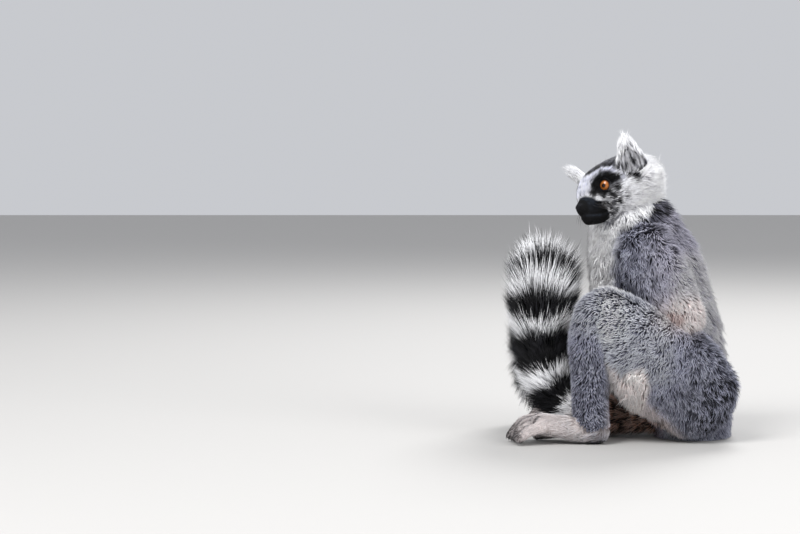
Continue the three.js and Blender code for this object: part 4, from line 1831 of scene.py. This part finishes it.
def polar_mesh(angles: Array, segments: int) -> tuple[Array, Array]:
    """Makes rings of directions round the first axis, closed at both ends.

    Args:
        angles: Each ring's angle from the first axis, in radians.
        segments: Points in each ring.

    Returns:
        Unit directions and three-sided faces.
    """
    turns = np.arange(segments) * (2.0 * math.pi / segments)
    ring = np.stack([np.zeros(segments), np.cos(turns), np.sin(turns)], axis=1)
    rows = [[[1.0, 0.0, 0.0]]]
    rows += [ring * math.sin(a) + np.array([math.cos(a), 0.0, 0.0]) for a in angles]
    rows.append([[-1.0, 0.0, 0.0]])
    k = np.arange(segments)
    following = (k + 1) % segments
    faces = [np.stack([np.zeros(segments, int), 1 + k, 1 + following], axis=1)]
    for row in range(len(angles) - 1):
        a, b = 1 + row * segments, 1 + (row + 1) * segments
        faces.append(np.stack([a + k, b + k, b + following], axis=1))
        faces.append(np.stack([a + k, b + following, a + following], axis=1))
    last, end = 1 + (len(angles) - 1) * segments, 1 + len(angles) * segments
    faces.append(np.stack([last + k, np.full(segments, end), last + following], axis=1))
    return np.concatenate([np.array(r) for r in rows]), np.concatenate(faces)


def tube(path: Array, wide: Array, deep: Array, up: Array, sides: int, closed: bool) -> tuple[Array, Array]:
    """Makes a tube of changing oval section.

    Args:
        path: Its middle line.
        wide: Half-width at each point of the line.
        deep: Half-depth at each point, along the up direction.
        up: One direction, or one for each point.
        sides: Points round it.
        closed: Whether the line joins its own start.

    Returns:
        Points and three-sided faces.
    """
    way = np.roll(path, -1, 0) - np.roll(path, 1, 0) if closed else np.gradient(path, axis=0)
    way = unit(way)
    lift = unit(up - way * dot(np.broadcast_to(up, way.shape), way)[:, None])
    across = np.cross(way, lift)
    turns = np.arange(sides) * (2.0 * math.pi / sides)
    points = (
        path[:, None]
        + across[:, None] * (np.cos(turns) * wide[:, None])[..., None]
        + lift[:, None] * (np.sin(turns) * deep[:, None])[..., None]
    ).reshape(-1, 3)
    k = np.arange(sides)
    following = (k + 1) % sides
    faces = []
    for row in range(len(path) if closed else len(path) - 1):
        a, b = row * sides, (row + 1) % len(path) * sides
        faces.append(np.stack([a + k, b + following, b + k], axis=1))
        faces.append(np.stack([a + k, a + following, b + following], axis=1))
    if not closed:
        ends = len(points)
        points = np.concatenate([points, path[:1], path[-1:]])
        last = (len(path) - 1) * sides
        faces.append(np.stack([np.full(sides, ends), following, k], axis=1))
        faces.append(np.stack([np.full(sides, ends + 1), last + k, last + following], axis=1))
    return points, np.concatenate(faces)


def join_meshes(parts: list[tuple[Array, Array]]) -> tuple[Array, Array]:
    """Returns many small meshes as one."""
    starts = np.cumsum([0] + [len(p) for p, _ in parts[:-1]])
    return np.concatenate([p for p, _ in parts]), np.concatenate([f + s for (_, f), s in zip(parts, starts)])


@dataclass
class Eyeball:
    """One eyeball with its cornea, iris and pupil."""

    side: int
    iris: float = 5.5
    pupil: float = 1.85
    bulge: float = 0.45
    glance: float = 5.0  # degrees forward of the lids' middle

    def build(self, wet: bpy.types.Material) -> None:
        """Makes the eyeball.

        Args:
            wet: Its finish.
        """
        eye = Eye(self.side)
        angles = np.radians(np.concatenate([np.arange(1.0, 44.0, 1.0), np.arange(44.0, 180.0, 6.0)]))
        ways, faces = polar_mesh(angles, 96)
        axes = eye_axes(self.side, EYE_TURN_OUT - self.glance, 0.03)
        off = np.hypot(ways[:, 1], ways[:, 2]) * EYE_RADIUS
        front = ways[:, 0] > 0
        raised = np.where(front, self.bulge * rise(self.iris * 1.25, 0.0, off), 0.0)
        local = eye.centre + (ways * (EYE_RADIUS + raised)[:, None]) @ axes
        obj = make_piece(f"{eye.name}_eyeball", from_head(local), faces, wet)
        tint_points(obj, "coat", self.colours(ways, off, front))
        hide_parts(f"{eye.name}_eye")

    def colours(self, ways: Array, off: Array, front: Array) -> Array:
        """Paints the iris, pupil and rim.

        Args:
            ways: Directions from the eyeball's middle.
            off: Distance from the line of sight.
            front: Which points are on the front half.

        Returns:
            A colour for each point.
        """
        turns = np.arctan2(ways[:, 2], ways[:, 1])
        rings = np.stack([np.cos(turns) * 7.0, np.sin(turns) * 7.0, off * 0.35], axis=1)
        fibre = Noise(41, 16).at(rings, 0.55)
        share = np.clip((off - self.pupil) / (self.iris - self.pupil), 0.0, 1.0)
        inner, middle, outer = tone(0.45, 0.23, 0.09), tone(0.67, 0.40, 0.17), tone(0.43, 0.23, 0.09)
        colour = mix(mix(inner, middle, rise(0.0, 0.35, share)), outer, rise(0.6, 1.0, share))
        colour = colour * (1.0 + 0.28 * fibre)[:, None]
        rim = rise(self.iris - 0.25, self.iris + 0.2, off)
        dark = np.where(front, np.maximum(rise(self.pupil + 0.1, self.pupil - 0.1, off), rim), 1.0)
        return mix(np.clip(colour, 0.0, 1.0), np.array([0.004, 0.004, 0.004]), dark)


@dataclass
class LidMargin:
    """The dark wet edge of the lids round one eye."""

    side: int
    thickness: float = 0.55

    def build(self, leather: bpy.types.Material) -> None:
        """Makes the lid's edge.

        Args:
            leather: Its finish.
        """
        eye = Eye(self.side)
        turns = np.linspace(0.0, 2.0 * math.pi, 72, endpoint=False)
        across = eye.opening[0] * (0.96 + 0.04 * np.abs(np.cos(turns))) * np.cos(turns)
        up = eye.opening[1] * 0.97 * np.sin(turns)
        forward = np.sqrt(EYE_RADIUS**2 - across**2 - up**2)
        path = eye.centre + eye.gaze * forward[:, None] + eye.level * across[:, None] + eye.up * up[:, None]
        size = np.full(len(path), self.thickness)
        points, faces = tube(from_head(path), size, size, HEAD_AXES @ eye.gaze, 8, True)
        obj = make_piece(f"{eye.name}_lid_edge", points, faces, leather)


@dataclass
class Nose:
    """The bare nose pad with its nostrils."""

    centre: Triple = (31.6, 0.0, -12.9)
    size: Triple = (5.6, 6.7, 6.2)
    nostril: Triple = (0.62, 0.70, -0.12)
    nostril_width: float = 0.32

    def build(self, leather: bpy.types.Material) -> None:
        """Makes the nose.

        Args:
            leather: Its finish.
        """
        ways, faces = polar_mesh(np.radians(np.arange(3.0, 180.0, 3.0)), 72)
        reach = np.ones(len(ways))
        for side in (1, -1):
            hole = unit(np.array([self.nostril[0], self.nostril[1] * side, self.nostril[2]]))
            rel = ways - hole
            slant = rel[:, 1] * side * 0.8 + rel[:, 2] * 0.6
            cross = -rel[:, 1] * side * 0.6 + rel[:, 2] * 0.8
            long, short = self.nostril_width * 1.7, self.nostril_width * 0.62
            gap = np.sqrt((slant / long) ** 2 + (cross / short) ** 2 + (rel[:, 0] / 0.8) ** 2)
            reach += 0.05 * hump((gap - 1.6) / 0.45) - 0.55 * hump(gap)
        groove = hump(ways[:, 1] / 0.07) * rise(0.2, -0.3, ways[:, 2]) * rise(-0.1, 0.3, ways[:, 0])
        flat_top = rise(0.4, 0.9, ways[:, 2])
        reach -= 0.10 * groove + 0.10 * flat_top
        local = np.array(self.centre) + ways * reach[:, None] * np.array(self.size)
        obj = make_piece("nose_pad", from_head(local), faces, leather)
        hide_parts("nose")


@dataclass
class Nails:
    """The nails of one hand or foot, one curved plate on each digit."""

    limb: str
    lengths: list[Rings]
    width: float = 1.75
    reach: float = 2.6
    root_back: float = 3.2
    floor_gap: float = 0.15

    def build(self, horn: bpy.types.Material) -> None:
        """Makes the nails.

        Args:
            horn: Their finish.
        """
        parts = []
        for rings in self.lengths:
            way = unit(rings.centre[-1] - rings.centre[-2])
            out = np.array([0.0, 0.0, 1.0]) if "toe" in rings.length.name else np.array([-1.0, 0.0, 0.0])
            out = unit(out - way * float(out @ way))
            claw = rings.length.name.endswith("toe_2")
            deep = rings.flesh[-1, 1]
            t = np.linspace(0.0, 1.0, 7)
            forward = -self.root_back + (self.reach + self.root_back + rings.reach[1]) * t
            lift = deep * (0.95 - 0.75 * t**2.2) + (3.0 * t if claw else 0.0)
            path = rings.centre[-1] + way * forward[:, None] + out * lift[:, None]
            taper = np.sin(np.clip(0.25 + 0.75 * (1.0 - t), 0.0, 1.0) * math.pi / 2) * (0.55 if claw else 1.0)
            taper[-1] = 0.15
            wide = self.width * taper * rings.flesh[-1, 0] / 3.6
            parts.append(tube(path, wide, np.maximum(wide * 0.42, 0.15), out, 10, False))
        points, faces = join_meshes(parts)
        points[:, 2] = np.maximum(points[:, 2], self.floor_gap)
        obj = make_piece(f"{self.limb}_nails", points, faces, horn)


@dataclass
class Whiskers:
    """Stiff dark hairs on the lips and brows."""

    skin: Skin
    seed: int = 3
    rows: tuple[tuple[float, float, float, int], ...] = (
        (24.0, -14.5, 30.0, 5), (20.0, -17.0, 32.0, 5), (15.0, -16.0, 24.0, 3), (8.0, 12.0, 22.0, 4),
    )

    def build(self, horn: bpy.types.Material) -> None:
        """Makes the whiskers.

        Args:
            horn: Their finish.
        """
        rng = np.random.default_rng(self.seed)
        normals = vertex_normals(self.skin.points, self.skin.quads)
        near = np.flatnonzero(np.linalg.norm(self.skin.points - HEAD_AT, axis=1) < FACE_REACH)
        local = to_head(self.skin.points[near])
        parts = []
        for side in (1, -1):
            for x, z, length, count in self.rows:
                for k in range(count):
                    spot = np.array([x - 2.2 * k, 0.0, z + rng.uniform(-1.2, 1.2)])
                    miss = np.abs(local[:, [0, 2]] - spot[[0, 2]]).sum(axis=1)
                    miss[local[:, 1] * side < 2.0] = FAR
                    row = near[np.argmin(miss)]
                    out = unit(normals[row] @ HEAD_AXES + np.array([0.15, 0.0, 0.1 if z > 0 else -0.25]))
                    back = np.array([-1.0, 0.25 * side, 0.45 if z > 0 else -0.1])
                    t = np.linspace(0.0, 1.0, 6)[:, None]
                    size = length * rng.uniform(0.7, 1.0)
                    path = to_head(self.skin.points[row]) + size * (out * t * 0.8 + back * t**2 * 0.45)
                    thick = 0.17 * (1.0 - 0.9 * t[:, 0])
                    parts.append(tube(from_head(path), thick, thick, np.array([0.1, 0.2, 1.0]), 4, False))
        obj = make_piece("whiskers", *join_meshes(parts), horn)


# ---- Studio -------------------------------------------------------------------------------------


@dataclass
class Studio:
    """The floor, lights and camera."""

    distance: float = 2.5
    elevation: float = 3.5
    scale: float = 1.06  # millimetres seen by one pixel, at the body
    frame_width: int = 800
    frame_middle: tuple[float, float] = (400.0, 267.0)
    body_zero: tuple[float, float] = (620.0, 437.0)  # where x = 0, z = 0 of the body shows
    sensor: float = 36.0
    floor_width: float = 12.0

    def camera(self) -> None:
        """Sets up the camera."""
        data = bpy.data.cameras.new("camera")
        data.sensor_width = self.sensor
        data.lens = self.sensor * self.distance / (self.scale * MM * self.frame_width)
        obj = bpy.data.objects.new("camera", data)
        bpy.context.scene.collection.objects.link(obj)
        down = math.radians(self.elevation)
        aim_x = (self.frame_middle[0] - self.body_zero[0]) * self.scale
        aim_z = (self.body_zero[1] - self.frame_middle[1]) * self.scale
        aim = (np.array([aim_x, 0.0, aim_z]) + SHIFT) * MM
        obj.location = aim + self.distance * np.array([0.0, -math.cos(down), math.sin(down)])
        obj.rotation_euler = (math.pi / 2 - down, 0.0, 0.0)
        bpy.context.scene.camera = obj

    def light(self, name: str, place: Triple, size: float, power: float) -> None:
        """Adds one soft light that points at the animal.

        Args:
            name: The light's name.
            place: Where it stands, in metres.
            size: Width of its face.
            power: Watts.
        """
        data = bpy.data.lights.new(name, "AREA")
        data.shape, data.size, data.energy = "DISK", size, power
        obj = bpy.data.objects.new(name, data)
        obj.location = place
        way = np.array([0.0, 0.0, 0.16]) - np.array(place)
        flat = math.hypot(way[0], way[1])
        obj.rotation_euler = (math.atan2(flat, -way[2]), 0.0, math.atan2(way[1], way[0]) - math.pi / 2)
        bpy.context.scene.collection.objects.link(obj)

    def floor(self) -> None:
        """Adds a plain pale floor."""
        mesh = bpy.data.meshes.new("floor")
        half = self.floor_width / 2.0
        corners = [(-half, -half, 0), (half, -half, 0), (half, half, 0), (-half, half, 0)]
        mesh.from_pydata(corners, [], [(0, 1, 2, 3)])
        obj = bpy.data.objects.new("floor", mesh)
        bpy.context.scene.collection.objects.link(obj)
        material = bpy.data.materials.new("pale_floor")
        material.use_nodes = True
        shader = material.node_tree.nodes["Principled BSDF"]
        shader.inputs["Base Color"].default_value = (0.50, 0.49, 0.475, 1.0)
        shader.inputs["Roughness"].default_value = 0.7
        mesh.materials.append(material)

    def build(self) -> None:
        """Makes the whole studio."""
        self.camera()
        self.floor()
        self.light("key_light", (-1.3, -1.5, 2.0), 1.4, 62.0)
        self.light("fill_light", (1.6, -1.6, 1.2), 1.6, 26.0)
        self.light("back_light", (0.6, 1.6, 1.9), 1.2, 40.0)
        world = bpy.data.worlds.new("studio_world")
        world.use_nodes = True
        world.node_tree.nodes["Background"].inputs["Color"].default_value = (0.93, 0.95, 1.0, 1.0)
        world.node_tree.nodes["Background"].inputs["Strength"].default_value = 0.62
        bpy.context.scene.world = world
        bpy.context.scene.view_settings.view_transform = "Standard"


def main() -> None:
    """Builds the animal and the studio."""
    logging.basicConfig(level=logging.INFO, format="%(message)s")
    Studio().build()
    groups = {group.name: group for group in (grain_group(), marked_group())}
    finishes = {name: finish.build(groups) for name, finish in FINISHES.items()}
    skin = Skin(all_lengths())
    skin.build()
    log.info("skin: %d points, %d faces", len(skin.points), len(skin.quads))
    survey = Survey(skin)
    survey.measure()
    coat = Coat(skin, survey, finishes["hair"])
    coat.cover(finishes["hide"])
    coat.build()
    for side in (1, -1):
        Eyeball(side).build(finishes["eye"])
        LidMargin(side).build(finishes["leather"])
    Nose().build(finishes["leather"])
    for limb, digits in (("foot", ("toe",)), ("hand", ("finger", "thumb"))):
        for side in ("left", "right"):
            names = tuple(f"{side}_{part}" for part in digits)
            rings = [r for r in skin.rings if r.length.name.startswith(names)]
            Nails(f"{side}_{limb}", rings).build(finishes["horn"])
    Whiskers(skin).build(finishes["horn"])
    log.info("eyes, nose, nails and whiskers are on")


if __name__ == "__main__":
    main()
